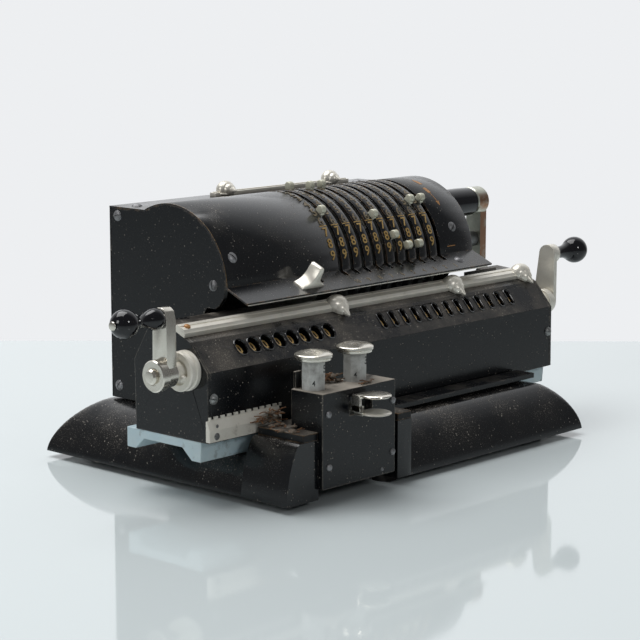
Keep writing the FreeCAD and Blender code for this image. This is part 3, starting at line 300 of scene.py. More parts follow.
ENGRAVED = gilt("engraved_black", 0.1, rgb(0.02, 0.02, 0.02), rgb(0.035, 0.035, 0.035))
STRAW = straw("dry_straw")
LINT = lint_grey("grey_lint")
ENAMEL_GLOSS = enamel("lip_enamel", dust=0.15, wear=0.2, gloss=0.1, shine=0.9)
WHEEL = enamel("wheel_enamel", dust=0.2, wear=0.1, gloss=0.3)

NODE_FINISH = {
    ENAMEL_BASE: ("base_casing",),
    ENAMEL_LEDGE: ("front_ledge",),
    ENAMEL_SIDE: ("left_side_plate", "right_side_plate", "rear_cover", "front_rail"),
    ENAMEL_COVER: ("top_cover",),
    ENAMEL_BLOCK: ("shift_housing",),
    ENAMEL_CARRIAGE: ("carriage_cover", "left_end_plate", "right_end_plate", "left_hood",
                      "right_hood"),
    CASTING: ("carriage_bed",),
    CRANK: ("crank_arm",),
    NICKEL: ("marker_bar", "carriage_marker_1", "carriage_marker_2", "carriage_marker_3",
             "top_marker_rail", "top_marker_left", "top_marker_right", "thumb_catch",
             "left_clearing_crank", "right_clearing_crank", "upper_finger_pad"),
    NICKEL_DULL: ("scale_bar", "notch_rack", "apron_strip", "left_hub_collar",
                  "right_hub_collar", "lower_finger_pad"),
    STEEL: ("tie_rods", "bearing_bushes", "guide_rail", "main_shaft", "pinwheel_drum",
            "idler_shaft", "idler_gears", "wheel_shaft", "body_screws", "carriage_screws",
            "left_shift_button", "right_shift_button"),
    BALL: ("crank_handle", "left_clearing_knob", "right_clearing_knob"),
    RUBBER: ("base_feet",),
    WHEEL: ("result_wheels", "counter_wheels"),
}
SHARP = math.radians(28)
FACET = math.radians(7)
EDGE_ROUND = {"base_casing": 3.0, "front_ledge": 0.6, "shift_housing": 0.35, "top_cover": 0.15,
              "carriage_cover": 0.45, "carriage_bed": 0.5, "crank_arm": 0.6, "scale_bar": 0.25,
              "notch_rack": 0.1}


def soften(thing, width, segments=2):
    """Rounds the sharp edges with modifiers, which leave the mesh as it is."""
    weld = thing.modifiers.new("weld", "WELD")
    weld.merge_threshold = 1e-6
    bevel = thing.modifiers.new("round", "BEVEL")
    bevel.width = width * MM
    bevel.segments = segments
    bevel.limit_method = "ANGLE"
    bevel.angle_limit = FACET if thing.name.startswith("base_casing") else SHARP
    bevel.harden_normals = True
    bevel.use_clamp_overlap = True


def dress_nodes():
    finishes = {node: material for material, nodes in NODE_FINISH.items() for node in nodes}
    for index in range(len(SETTINGS)):
        finishes[f"setting_lever_{index + 1:02d}"] = NICKEL_DULL
    for node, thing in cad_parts.items():
        thing.data.materials.clear()
        thing.data.materials.append(finishes[node])
        soften(thing, EDGE_ROUND.get(node, 0.3))


# Shapes

def as_mesh(tools, name):
    """The tools' result as a mesh with its seams closed and its faces turned outwards."""
    bmesh.ops.remove_doubles(tools, verts=tools.verts, dist=1e-7)
    bmesh.ops.recalc_face_normals(tools, faces=tools.faces)
    mesh = bpy.data.meshes.new(name)
    for face in tools.faces:
        face.smooth = True
    tools.to_mesh(mesh)
    tools.free()
    mesh.set_sharp_from_angle(angle=SHARP)
    return mesh


def piece(name, shape, material, body, replaced=()):
    """Turns a finished shape into a piece that rides on a body of the frame."""
    thing = bpy.data.objects.new(name, as_mesh(shape, name))
    bpy.context.scene.collection.objects.link(thing)
    thing.data.materials.append(material)
    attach(thing, body)
    if replaced:
        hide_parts(*replaced)
    return thing


def lathe(shape, profile, spot, axis, steps=40):
    """Turns a profile of (distance along the axis, radius) about an axis through a spot."""
    ahead = Vector(axis).normalized()
    aside = ahead.orthogonal().normalized()
    verts = [shape.verts.new(at(*spot) + (ahead * along + aside * radius) * MM)
             for along, radius in profile]
    edges = [shape.edges.new(pair) for pair in zip(verts, verts[1:])]
    made = bmesh.ops.spin(shape, geom=verts + edges, cent=at(*spot), axis=ahead, dvec=(0, 0, 0),
                          angle=math.tau, steps=steps, use_merge=True, use_duplicate=False)
    return made["geom_last"]


def drum(shape, radius, length, middle, axis, round_over=0.0, steps=32, squash=(1, 1, 1)):
    """A cylinder with rounded rims about its middle."""
    turn = Vector((0, 0, 1)).rotation_difference(Vector(axis)).to_matrix().to_4x4()
    place = Matrix.Translation(at(*middle)) @ turn @ Matrix.Diagonal((*squash, 1))
    made = bmesh.ops.create_cone(shape, cap_ends=True, segments=steps, radius1=radius * MM,
                                 radius2=radius * MM, depth=length * MM, matrix=place)
    if round_over:
        rims = [edge for edge in {edge for vert in made["verts"] for edge in vert.link_edges}
                if len(edge.link_faces) == 2 and max(len(f.verts) for f in edge.link_faces) > 4]
        bmesh.ops.bevel(shape, geom=rims, offset=round_over * MM, segments=3, profile=0.5,
                        affect="EDGES", material=-1)
    return made["verts"]


def block(shape, low, high, round_over=0.0, turn=None):
    """A rectangular block between two corners."""
    size = Vector(high) - Vector(low)
    middle = (Vector(high) + Vector(low)) / 2
    place = Matrix.Translation(at(*middle)) @ (turn.to_4x4() if turn else Matrix())
    made = bmesh.ops.create_cube(shape, size=MM, matrix=place @ Matrix.Diagonal((*size, 1)))
    if round_over:
        rims = list({edge for vert in made["verts"] for edge in vert.link_edges})
        bmesh.ops.bevel(shape, geom=rims, offset=round_over * MM, segments=2, profile=0.5,
                        affect="EDGES", material=-1)
    return made["verts"]


def extruded(shape, corners, run, round_over=0.0):
    """A closed outline of places, pulled along a run."""
    verts = [shape.verts.new(at(*corner)) for corner in corners]
    face = shape.faces.new(verts)
    made = bmesh.ops.extrude_face_region(shape, geom=[face])
    moved = [item for item in made["geom"] if isinstance(item, bmesh.types.BMVert)]
    bmesh.ops.translate(shape, verts=moved, vec=Vector(run) * MM)
    if round_over:
        faces = {face for vert in verts + moved for face in vert.link_faces}
        rims = [edge for edge in {edge for f in faces for edge in f.edges}
                if edge.calc_face_angle(0.0) > SHARP]
        bmesh.ops.recalc_face_normals(shape, faces=list(faces))
        bmesh.ops.bevel(shape, geom=rims, offset=round_over * MM, segments=3, profile=0.5,
                        affect="EDGES", material=-1)
    return verts + moved


FIGURES = {}
FIGURE_TALL = 0.6


def figure(text, fine=3):
    """A flat figure about its own middle, one unit high, with a little thickness."""
    if (text, fine) not in FIGURES:
        curve = bpy.data.curves.new("figure", "FONT")
        curve.body = text
        curve.align_x = "CENTER"
        curve.align_y = "CENTER"
        curve.resolution_u = fine
        curve.extrude = 0.015
        curve.offset = 0.008
        holder = bpy.data.objects.new("figure", curve)
        bpy.context.scene.collection.objects.link(holder)
        view = bpy.context.evaluated_depsgraph_get()
        FIGURES[text, fine] = bpy.data.meshes.new_from_object(holder.evaluated_get(view))
        bpy.data.objects.remove(holder)
    return FIGURES[text, fine]


def stamp(shape, text, middle, right, up, height, narrow=1.0, fine=3):
    """Sets a figure on a surface: its middle, the way it reads and the way it stands."""
    right = Vector(right).normalized()
    up = Vector(up).normalized()
    turn = Matrix((right, up, right.cross(up))).transposed().to_4x4()
    size = height / FIGURE_TALL * MM
    place = Matrix.Translation(at(*middle)) @ turn @ Matrix.Diagonal((size * narrow, size, size, 1))
    known = set(shape.verts)
    shape.from_mesh(figure(text, fine))
    fresh = [vert for vert in shape.verts if vert not in known]
    bmesh.ops.transform(shape, matrix=place, verts=fresh)


# Figures and marks on the cover

DIGIT_STEP = 9.1
NINE_ANGLE = 14.2
COVER_SKIN = COVER_RADIUS + 0.03
APRON_FRONT = (-42.1, 99.8)
APRON_UP = Vector((0, -26.1 + 42.1, 106.9 - 99.8)).normalized()
APRON_OFF = Vector((0, -APRON_UP.z, APRON_UP.y))


def round_the_drum(degrees):
    """The way up along the cover at an angle about the drum's axis."""
    angle = math.radians(degrees)
    return Vector((0, math.sin(angle), math.cos(angle)))


def dress_cover():
    fresh = bmesh.new()
    worn = bmesh.new()
    for column in range(len(SETTINGS)):
        x = FIRST_SLOT + PITCH * column - 5.0
        for digit in range(10):
            angle = NINE_ANGLE + DIGIT_STEP * (9 - digit)
            y, z = on_drum(COVER_SKIN, angle)
            shape = fresh if digit > 6 else worn
            stamp(shape, str(digit), (x, y, z), (1, 0, 0), round_the_drum(angle), 4.9, 0.98)
        angle = NINE_ANGLE + DIGIT_STEP * 2.6
        y, z = on_drum(COVER_SKIN, angle)
        lean = Vector((0, 0, 1)).rotation_difference(round_the_drum(angle)).to_matrix()
        block(fresh, (x - 3.0, y - 0.05, z - 0.28), (x + 3.0, y + 0.05, z + 0.28), turn=lean)
    piece("cover_figures", fresh, GILT, "frame")
    piece("worn_cover_figures", worn, GILT_WORN, "frame")
    marks = bmesh.new()
    arrow(marks, 92.6, 43.5, 62.5)
    arrow(marks, 94.8, 77.8, 69.5)
    y, z = on_drum(COVER_SKIN, 8.6)
    block(marks, (86.2, y - 0.05, z - 0.3), (93.8, y + 0.05, z + 0.3))
    piece("turning_marks", marks, ORANGE, "frame")
    numbers = bmesh.new()
    for column in range(len(SETTINGS)):
        x = FIRST_SLOT + PITCH * column
        foot = Vector((x + 1.5, *APRON_FRONT)) + APRON_UP * 4.2
        lifted = foot + APRON_OFF * 0.04
        stamp(numbers, str(10 - column), lifted, (1, 0, 0), APRON_UP, 3.2, 0.9)
    piece("place_figures", numbers, GILT_WORN, "frame")


def arrow(shape, x, tip, tail):
    """An arrow round the cover, of short flat lengths, with its head at one end."""
    way = 1 if tail > tip else -1
    angle = tip + 3.4 * way
    while (tail - angle) * way > 0:
        y, z = on_drum(COVER_SKIN, angle)
        lean = Vector((0, 0, 1)).rotation_difference(round_the_drum(angle)).to_matrix()
        wide = 1.35 if abs(tail - angle) < 6.5 else 0.24
        block(shape, (x - wide, y - 0.05, z - 0.95), (x + wide, y + 0.05, z + 0.95), turn=lean)
        angle += 2.2 * way
    corners = [(x + across, *on_drum(COVER_SKIN, tip + along * way))
               for across, along in ((0, -1.4), (1.5, 3.6), (-1.5, 3.6))]
    outward = Vector((0, *on_drum(1.0, tip))) - Vector((0, DRUM_Y, DRUM_Z))
    extruded(shape, corners, outward * 0.1)


def dress_levers():
    """The pale finger tabs of the setting levers."""
    for index, digit in enumerate(SETTINGS):
        angle = NINE_ANGLE + DIGIT_STEP * (9 - digit)
        y, z = on_drum(47.8, angle)
        x = FIRST_SLOT + PITCH * index
        lean = Matrix.Rotation(math.radians(-angle), 4, "X")
        shape = bmesh.new()
        drum(shape, 2.6, 3.7, (x, y, z), (1, 0, 0), 0.6, 28)
        low_y, low_z = on_drum(45.9, angle)
        stem = block(shape, (x - 1.5, low_y - 2.4, low_z - 1.9), (x + 1.5, low_y + 2.4, low_z + 1.9),
                     0.5)
        bmesh.ops.rotate(shape, verts=[vert for vert in stem if vert.is_valid],
                         cent=at(x, low_y, low_z), matrix=lean.to_3x3())
        piece(f"lever_tab_{index + 1:02d}", shape, IVORY_NICKEL, f"lever_{index + 1:02d}")


# Number wheels

WINDOW_Y, WINDOW_Z = -51.45, 78.94
RESULT_FIRST, RESULT_COUNT = -4.3, 13
COUNTER_FIRST, COUNTER_COUNT = -120.1, 8
WHEEL_SKIN = 9.62


def ring_of_figures(shape, x):
    """The ten figures round a wheel, with the nought in the window."""
    window = math.degrees(math.atan2(WINDOW_Z - AXLE_Z, AXLE_Y - WINDOW_Y))
    for digit in range(10):
        angle = math.radians(window - 36.0 * digit)
        out = Vector((0, -math.cos(angle), math.sin(angle)))
        up = Vector((0, math.sin(angle), math.cos(angle)))
        middle = Vector((x, AXLE_Y, AXLE_Z)) + out * WHEEL_SKIN
        stamp(shape, str(digit), middle, (1, 0, 0), up, 5.2, 0.85, 2)


def dress_wheels():
    for name, first, count, body in (
            ("result_figures", RESULT_FIRST, RESULT_COUNT, "result_row"),
            ("counter_figures", COUNTER_FIRST, COUNTER_COUNT, "counter_row")):
        shape = bmesh.new()
        for index in range(count):
            ring_of_figures(shape, first + PITCH * index)
        piece(name, shape, GILT, body)


# Carriage fittings

CREST = Vector((0, -33.2, 90.6))
KNEE_Y, KNEE_Z = -46.2, 85.0
DOWN_SLOPE = Vector((0, KNEE_Y + 33.2, KNEE_Z - 90.6)).normalized()
OFF_SLOPE = Vector((0, DOWN_SLOPE.z, -DOWN_SLOPE.y))


def on_slope(x, down, off):
    """A place on the slope behind the windows, by distance down it and off it."""
    return Vector((x, 0, 0)) + CREST + DOWN_SLOPE * down + OFF_SLOPE * off


def cowl(shape, x, middle, down, off, size, sink):
    """A decimal marker: a round saddle, a rib across it and a beak that points forward."""
    turn = Matrix((Vector((1, 0, 0)), -down, off)).transposed().to_4x4()
    centre = Vector((x, middle.y, middle.z))
    for ahead, wide, deep, high in ((0.9, 6.3, 5.0, 5.2), (3.0, 4.6, 5.0, 4.0)):
        place = Matrix.Translation(at(*(centre + down * ahead * size))) @ turn
        sizes = Matrix.Diagonal((wide * size, deep * size, high * size, 1))
        bmesh.ops.create_uvsphere(shape, u_segments=28, v_segments=16, radius=MM,
                                  matrix=place @ sizes)
    rim = centre + down * 0.9 * size - off * 2.4 * size
    drum(shape, 6.6 * size, 1.3, rim, off, 0.4, 32, (1.0, 0.78, 1.0))
    nose = centre + down * 7.2 * size + off * 0.2 * size
    tilt = Vector((0, 0, 1)).rotation_difference((down - off * 0.18).normalized()).to_matrix()
    bmesh.ops.create_cone(shape, cap_ends=True, segments=20, radius1=3.4 * size * MM,
                          radius2=0.5 * size * MM, depth=6.4 * size * MM,
                          matrix=Matrix.Translation(at(*nose)) @ tilt.to_4x4())
    bmesh.ops.bisect_plane(shape, geom=shape.verts[:] + shape.edges[:] + shape.faces[:],
                           plane_co=at(*(centre - off * sink)), plane_no=off, clear_inner=True)
    rims = [edge for edge in shape.edges if edge.is_boundary]
    bmesh.ops.holes_fill(shape, edges=rims, sides=0)


HALF_SLOT = 0.38


def slotted_head(shape, spot, out, radius, height, slot):
    """A domed screw head with an open slot: two half domes on a thin disc."""
    out = Vector(out).normalized()
    across = (Vector(slot) - out * Vector(slot).dot(out)).normalized()
    ball = (radius ** 2 + height ** 2) / (2 * height)
    profile = [(0.0, 0.0), (0.0, radius)]
    lowest = math.asin(radius / ball)
    profile += [(height - ball + ball * math.cos(lowest * share), ball * math.sin(lowest * share))
                for share in (0.85, 0.68, 0.5, 0.3, 0.0)]
    for side in (-1, 1):
        part = bmesh.new()
        lathe(part, profile, spot, out, 24)
        bmesh.ops.remove_doubles(part, verts=part.verts, dist=1e-7)
        cut = bmesh.ops.bisect_plane(part, geom=part.verts[:] + part.edges[:] + part.faces[:],
                                     plane_co=at(*(Vector(spot) + across * HALF_SLOT * side)),
                                     plane_no=across * side, clear_inner=True)
        rim = [item for item in cut["geom_cut"] if isinstance(item, bmesh.types.BMEdge)]
        bmesh.ops.contextual_create(part, geom=rim)
        mesh = bpy.data.meshes.new("half")
        part.to_mesh(mesh)
        part.free()
        shape.from_mesh(mesh)
        bpy.data.meshes.remove(mesh)
    drum(shape, radius * 0.93, height * 0.3, Vector(spot) + out * height * 0.16, out, 0, 20)


def dress_screws():
    heads = bmesh.new()
    left, right = -105.7, 110.5
    for x, side in ((left, -1), (right, 1)):
        for y, z, slot in ((63.5, 139.8, (0, 0.3, 1)), (64.1, 39.7, (0, 1, 0.7)),
                           (-15.4, 107.1, (0, 1, -0.1))):
            slotted_head(heads, (x, y, z), (side, 0, 0), 3.2, 1.3, slot)
    for x, slot in ((left + 8.2, (1, 0, 0.8)), (right - 16.0, (1, 0, -0.9))):
        y, z = on_drum(COVER_RADIUS, 23.4)
        slotted_head(heads, (x, y, z), (0, y - DRUM_Y, z - DRUM_Z), 3.2, 1.3, slot)
    for x in (left + 10.2, right - 15.0):
        slotted_head(heads, (x, 57.9, 145.0), (0, 0, 1), 3.2, 1.3, (1, 0.4, 0))
    slotted_head(heads, (right - 22.3, -33.5, 103.6), (0, -0.405, 0.914), 3.2, 1.3, (1, 0.6, 0))
    for x, z in ((-104.0, 46.4), (-51.9, 46.4), (-103.5, 17.3), (-51.9, 17.2)):
        lathe(heads, [(0, 0), (0, 2.0), (0.7, 1.75), (1.05, 1.2), (1.2, 0)], (x, -101.0, z),
              (0, -1, 0), 20)
    lathe(heads, [(0, 0), (0, 1.2), (0.5, 0.9), (0.7, 0)], (-60.6, -101.0, 8.7), (0, -1, 0), 16)
    piece("screw_heads", heads, SCREW, "frame", ("body_screws",))
    fronts = bmesh.new()
    for x, z in ((-149.0, 55.7), (146.3, 54.2)):
        slotted_head(fronts, (x, -59.6, z), (0, -1, 0), 3.0, 1.7, (0.25, 0, 1))
    piece("carriage_screw_heads", fronts, STEEL, "carriage", ("carriage_screws",))


def dress_carriage():
    bar = bmesh.new()
    steps = ((1.1, 0.0), (1.1, 3.4), (1.5, 3.9), (3.6, 4.0), (3.8, 3.55), (4.5, 3.55), (4.7, 4.0),
             (7.3, 3.9), (8.1, 3.1), (9.1, 2.6), (9.1, 0.0))
    extruded(bar, [on_slope(-153.0, down, off) for down, off in steps], (303.0, 0, 0))
    piece("marker_bar_profile", bar, NICKEL, "carriage", ("marker_bar",))
    pins = bmesh.new()
    for x in (-148.5, 146.0):
        lathe(pins, [(0, 0), (0, 1.9), (0.9, 1.7), (1.3, 1.0), (1.4, 0)], on_slope(x, 5.0, 3.8),
              OFF_SLOPE, 18)
    piece("marker_bar_pins", pins, ORANGE, "carriage")
    middle = on_slope(0, 5.1, 2.0)
    for index, x in enumerate((-31.0, 74.0, 142.0)):
        shape = bmesh.new()
        cowl(shape, x, middle, DOWN_SLOPE, OFF_SLOPE, 1.22, 1.6)
        piece(f"cowl_{index + 1}", shape, NICKEL, f"marker_{index + 1}",
              (f"carriage_marker_{index + 1}",))
    for name, x in (("left", -20.0), ("right", 73.5)):
        shape = bmesh.new()
        cowl(shape, x, Vector((0, 62.5, 148.6)), Vector((0, -1, 0)), Vector((0, 0, 1)), 1.0, 3.3)
        piece(f"top_cowl_{name}", shape, NICKEL, f"top_marker_{name}_body",
              (f"top_marker_{name}",))
    catch = bmesh.new()
    profile = ((0, -0.6), (0.2, 0.9), (3.2, 1.9), (5.2, 3.0), (7.0, 5.0), (8.4, 7.6), (9.2, 10.2),
               (10.2, 12.0), (11.6, 12.7), (13.0, 11.8), (13.4, 9.8), (13.0, 7.4), (12.9, 5.2),
               (13.6, 3.4), (15.6, 1.9), (17.6, 1.2), (18.0, -0.6))
    foot = Vector((-57.0, *APRON_FRONT)) + APRON_UP * 4.6
    extruded(catch, [foot + Vector((x, 0, 0)) + APRON_OFF * high for x, high in profile],
             APRON_UP * 8.6, 0.7)
    piece("thumb_piece", catch, NICKEL, "catch", ("thumb_catch",))
    scale = bmesh.new()
    for x, z, radius in ((-149.5, 36.1, 2.1), (-149.2, 41.6, 1.0)):
        slotted_head(scale, (x, -62.45, z), (0, -1, 0.02), radius, 0.45, (0.25, 0, 1))
    piece("scale_screws", scale, STEEL, "carriage")


# Clearing cranks

LEFT_ARM = (-173.0, AXLE_Y, AXLE_Z)
PIN_RADIUS = 1.6
BALL_STEPS = 14
LEFT_KNOB = ((0, 1.6), (0, 5.0), (1.2, 5.65), (3.5, 6.0), (6.0, 5.55), (8.6, 4.35), (11.0, 3.65),
             (12.9, 3.45), (14.8, 3.7), (16.6, 4.5))
RIGHT_KNOB = ((0, 1.6), (0, 4.6), (1.0, 4.5), (3.0, 3.95), (5.0, 3.8), (8.0, 3.85), (11.0, 4.2),
              (13.2, 4.8), (15.0, 5.6))


def ball_profile(neck, length, radius):
    """A neck that runs into a ball, as distances and radii."""
    start = math.acos((length - neck[-1][0] - 0.9) / radius)
    end = math.pi - math.asin(PIN_RADIUS / radius)
    ball = [(length - radius * math.cos(start + (end - start) * step / BALL_STEPS),
             radius * math.sin(start + (end - start) * step / BALL_STEPS)) for step in range(BALL_STEPS + 1)]
    return list(neck) + ball + [(0, PIN_RADIUS)]


def dress_clearing_cranks():
    top = AXLE_Z + 30.3
    for name, neck, start, side, length, ball in (("left", LEFT_KNOB, -173.2, -1, 24.0, 7.7),
                                                  ("right", RIGHT_KNOB, 171.1, 1, 23.2, 8.5)):
        knob = bmesh.new()
        lathe(knob, ball_profile(neck, length, ball), (start, AXLE_Y, top), (side, 0, 0), 44)
        piece(f"{name}_ball_knob", knob, BALL, f"{name}_clearing_grip",
              (f"{name}_clearing_knob",))
    left = bmesh.new()
    lean = 0.6
    outline = [(AXLE_Y - 5.4 - lean, AXLE_Z - 3), (AXLE_Y - 5.6, top - 1.0), (AXLE_Y - 4.3, top + 3.9),
               (AXLE_Y - 1.6, top + 5.7), (AXLE_Y + 1.6, top + 5.7), (AXLE_Y + 4.3, top + 3.9),
               (AXLE_Y + 5.6, top - 1.0), (AXLE_Y + 5.4 + lean, AXLE_Z - 3)]
    extruded(left, [(LEFT_ARM[0], y, z) for y, z in outline], (7.0, 0, 0), 0.7)
    lathe(left, [(0, 0), (0, 8.6), (4.3, 8.6), (5.0, 8.0), (5.0, 4.9), (4.6, 4.7), (4.6, 4.3),
                 (6.4, 4.1), (7.6, 3.2), (8.0, 0)], LEFT_ARM, (-1, 0, 0), 44)
    lathe(left, [(0, 0), (0, 7.2), (7.0, 7.2), (7.0, 0)], LEFT_ARM, (1, 0, 0), 36)
    lathe(left, [(0, 0), (0, 1.45), (32.3, 1.45), (32.3, 2.4), (33.0, 2.2), (33.5, 0)],
          (LEFT_ARM[0], AXLE_Y, top), (-1, 0, 0), 24)
    piece("left_crank_form", left, NICKEL_BRIGHT, "left_clearing_arm", ("left_clearing_crank",))
    collar = bmesh.new()
    lathe(collar, [(0, 0), (0, 10.6), (0.6, 11.0), (2.6, 11.0), (3.2, 10.2), (4.4, 10.2),
                   (5.0, 10.8), (6.6, 10.8), (7.2, 10.2), (7.2, 7.4), (5.6, 6.8), (5.6, 5.4),
                   (12.6, 5.2), (12.6, 0)], (-153.0, AXLE_Y, AXLE_Z), (-1, 0, 0), 48)
    drum(collar, 1.9, 3.0, (-161.5, AXLE_Y - 5.4, AXLE_Z - 2.6), (0, -1, -0.4), 0.5, 18)
    piece("left_collar_form", collar, NICKEL_DULL, "carriage", ("left_hub_collar",))


def dress_main_crank():
    """The black turning grip and the round nickel head behind it."""
    spot = (0.0, DRUM_Y, 129.6)
    grip = bmesh.new()
    lathe(grip, [(114.2, 3.2), (114.2, 8.4), (115.2, 9.3), (124.0, 9.5), (150.0, 9.5), (161.5, 9.2),
                 (162.4, 8.6), (162.4, 3.2), (114.2, 3.2)], spot, (1, 0, 0), 48)
    piece("turning_grip", grip, BALL, "crank_grip", ("crank_handle",))
    head = bmesh.new()
    lathe(head, [(163.0, 0), (163.0, 8.6), (163.7, 9.3), (172.8, 9.3), (174.0, 8.6), (174.3, 7.4),
                 (174.3, 0)], spot, (1, 0, 0), 48)
    piece("crank_head", head, CRANK, "rotor")


# Shift buttons and finger pads

CAP_RADIUS = 10.4
BUTTON_Y = -86.5
COLUMN_LOW, CAP_LOW = 30.0, 73.9
COLUMN_TALL, COLUMN_WIDE = 43.9, 12.3


def button_cap(shape, x, y, low):
    """A round cap with a stepped rim; its top rises in a wave that fits a fingertip."""
    known = set(shape.verts)
    lathe(shape, [(0, 0), (0, 9.3), (0.25, 9.7), (1.3, 9.75), (1.55, 10.3), (1.8, 10.45),
                  (3.1, 10.4), (3.45, 10.1), (3.8, 9.4), (4.05, 8.2), (4.15, 6.6),
                  (4.15, 4.8), (4.1, 3.0), (4.05, 1.5), (4.0, 0)], (x, y, low), (0, 0, 1), 48)
    fresh = [vert for vert in shape.verts if vert not in known]
    middle = at(x, y, low)
    for vert in fresh:
        height = (vert.co.z - middle.z) / MM
        if height > 3.3:
            across = (vert.co.x - middle.x) / (CAP_RADIUS * MM)
            reach = min(1.0, (vert.co.xy - middle.xy).length / (CAP_RADIUS * MM))
            wave = 0.75 * math.sin((across + 0.1) * 2.4) * (1 - reach ** 4)
            vert.co.z += wave * MM


def dress_shift_buttons():
    for name, x, figures in (("left", -100.4, "54"), ("right", -67.1, "34")):
        cap = bmesh.new()
        button_cap(cap, x, BUTTON_Y, CAP_LOW)
        piece(f"{name}_button_cap", cap, NICKEL_BRIGHT, f"{name}_button")
        column = bmesh.new()
        across = COLUMN_WIDE / 2 / math.cos(math.pi / 8)
        place = (Matrix.Translation(at(x, BUTTON_Y, (COLUMN_LOW + CAP_LOW) / 2))
                 @ Matrix.Rotation(math.pi / 8, 4, "Z"))
        made = bmesh.ops.create_cone(column, cap_ends=True, segments=8, radius1=across * MM,
                                     radius2=across * MM, depth=COLUMN_TALL * MM, matrix=place)
        rims = list({edge for vert in made["verts"] for edge in vert.link_edges})
        bmesh.ops.bevel(column, geom=rims, offset=0.3 * MM, segments=2, profile=0.5,
                        affect="EDGES", material=-1)
        piece(f"{name}_button_column", column, COLUMN, f"{name}_button",
              (f"{name}_shift_button",))
        marks = bmesh.new()
        stamp(marks, figures[0], (x + 2.2, BUTTON_Y - 6.16, 69.2), (1, 0, 0), (0, 0, 1), 3.6, 0.85)
        side = Vector((-1, -1, 0)).normalized()
        spot = Vector((x, BUTTON_Y, 61.8)) + side * 6.16
        stamp(marks, figures[1], spot, side.cross(Vector((0, 0, 1))) * -1, (0, 0, 1), 2.6, 0.85)
        piece(f"{name}_column_figures", marks, ENGRAVED, f"{name}_button")
    pad = bmesh.new()
    finger_plate(pad, 52.9, 2.2, 0.45)
    block(pad, (-87.0, -108.0, 52.9), (-76.5, -102.0, 55.0), 0.4)
    block(pad, (-87.0, -108.0, 46.0), (-85.4, -102.0, 54.6), 0.3)
    block(pad, (-87.0, -108.0, 46.0), (-85.4, -96.0, 49.5), 0.3)
    piece("upper_pad_form", pad, NICKEL_BRIGHT, "upper_pad", ("upper_finger_pad",))
    pad = bmesh.new()
    finger_plate(pad, 43.5, 1.7, 0.3)
    block(pad, (-85.0, -108.0, 43.5), (-76.5, -102.0, 44.9), 0.3)
    block(pad, (-85.0, -108.0, 43.5), (-83.4, -102.0, 49.0), 0.3)
    block(pad, (-85.0, -108.0, 45.0), (-83.4, -96.0, 48.5), 0.3)
    piece("lower_pad_form", pad, NICKEL, "lower_pad", ("lower_finger_pad",))


def finger_plate(shape, low, thick, crown):
    """A round plate with a full edge and a slight crown."""
    lathe(shape, [(0.25, 0), (0.25, 6.8), (thick * 0.2, 8.2), (thick * 0.5, 8.75),
                  (thick * 0.75, 8.5), (thick * 0.95, 7.8), (thick, 6.4),
                  (thick + crown * 0.7, 3.6), (thick + crown, 0)], (-76.5, -110.2, low),
          (0, 0, 1), 44)


# Base

FOOT_LINE, TOP_LINE = 0.0, 32.3
BASE_LEFT, BASE_RIGHT = -133.4, 131.4
HALF_DEPTH = 98.05
NOTCH_LEFT, NOTCH_RIGHT, NOTCH_BACK = -108.8, -43.9, -78.0
POST_RIGHT = -32.3
LUG_BACK, LUG_TOP = -64.0, 32.8
TROUGH_FRONT, TROUGH_BACK, TROUGH_TOP = -57.0, 8.0, 20.2
FRONT_LAND = 29.5
RIDGE_BLEND = 3.5
GRID_MARGIN, GRID_LINES = 30, 24
SIDE_CURVE = (28.0, 32.3)
FRONT_CURVE = (18.0, 29.5)
LUG_CURVE = (10.0, 32.8)
CURVE_STEPS = 18


def height_on(curve, run):
    """The height of the rounded skirt at a distance in from its foot."""
    reach, rise = curve
    left = min(max(1.0 - run / reach, 0.0), 1.0)
    return rise * (1.0 - left ** 1.385) ** 0.6


def base_height(x, y):
    """How high the casing stands over a place, without its housing notch."""
    across = min(height_on(SIDE_CURVE, x - BASE_LEFT), height_on(SIDE_CURVE, BASE_RIGHT - x))
    front = height_on(FRONT_CURVE, y + HALF_DEPTH)
    if y > TROUGH_FRONT:
        front = min(TOP_LINE, FRONT_LAND + (y - TROUGH_FRONT) * 0.56)
    along = min(front, height_on(SIDE_CURVE, HALF_DEPTH - y))
    gap = max(RIDGE_BLEND - abs(across - along), 0.0)
    height = min(across, along) - gap * gap / (4 * RIDGE_BLEND)
    if TROUGH_FRONT < y < TROUGH_BACK:
        height = min(height, TROUGH_TOP)
    if y < LUG_BACK and x < NOTCH_LEFT:
        height = max(height, height_on(LUG_CURVE, x - BASE_LEFT)) if y > -HALF_DEPTH else 0.0
    if y < LUG_BACK and NOTCH_RIGHT < x < POST_RIGHT:
        height = LUG_TOP if y > -HALF_DEPTH else 0.0
    return max(height, 0.0)


def base_lines(curve, low, high, breaks):
    """Grid lines that are close together where the casing curves or steps."""
    runs = [reach * (step / CURVE_STEPS) ** 2 for reach, _ in curve
            for step in range(CURVE_STEPS + 1)]
    lines = {low + run for run in runs} | {high - run for run in runs}
    lines |= {place + side * 0.01 for place in breaks for side in (-1, 1)}
    step = (high - low) / GRID_LINES
    start = low + GRID_MARGIN
    lines |= {start + step * index for index in range(GRID_LINES)
              if start + step * index < high - GRID_MARGIN}
    return sorted(line for line in lines if low <= line <= high)


def in_notch(x, y):
    return NOTCH_LEFT < x < NOTCH_RIGHT and y < NOTCH_BACK


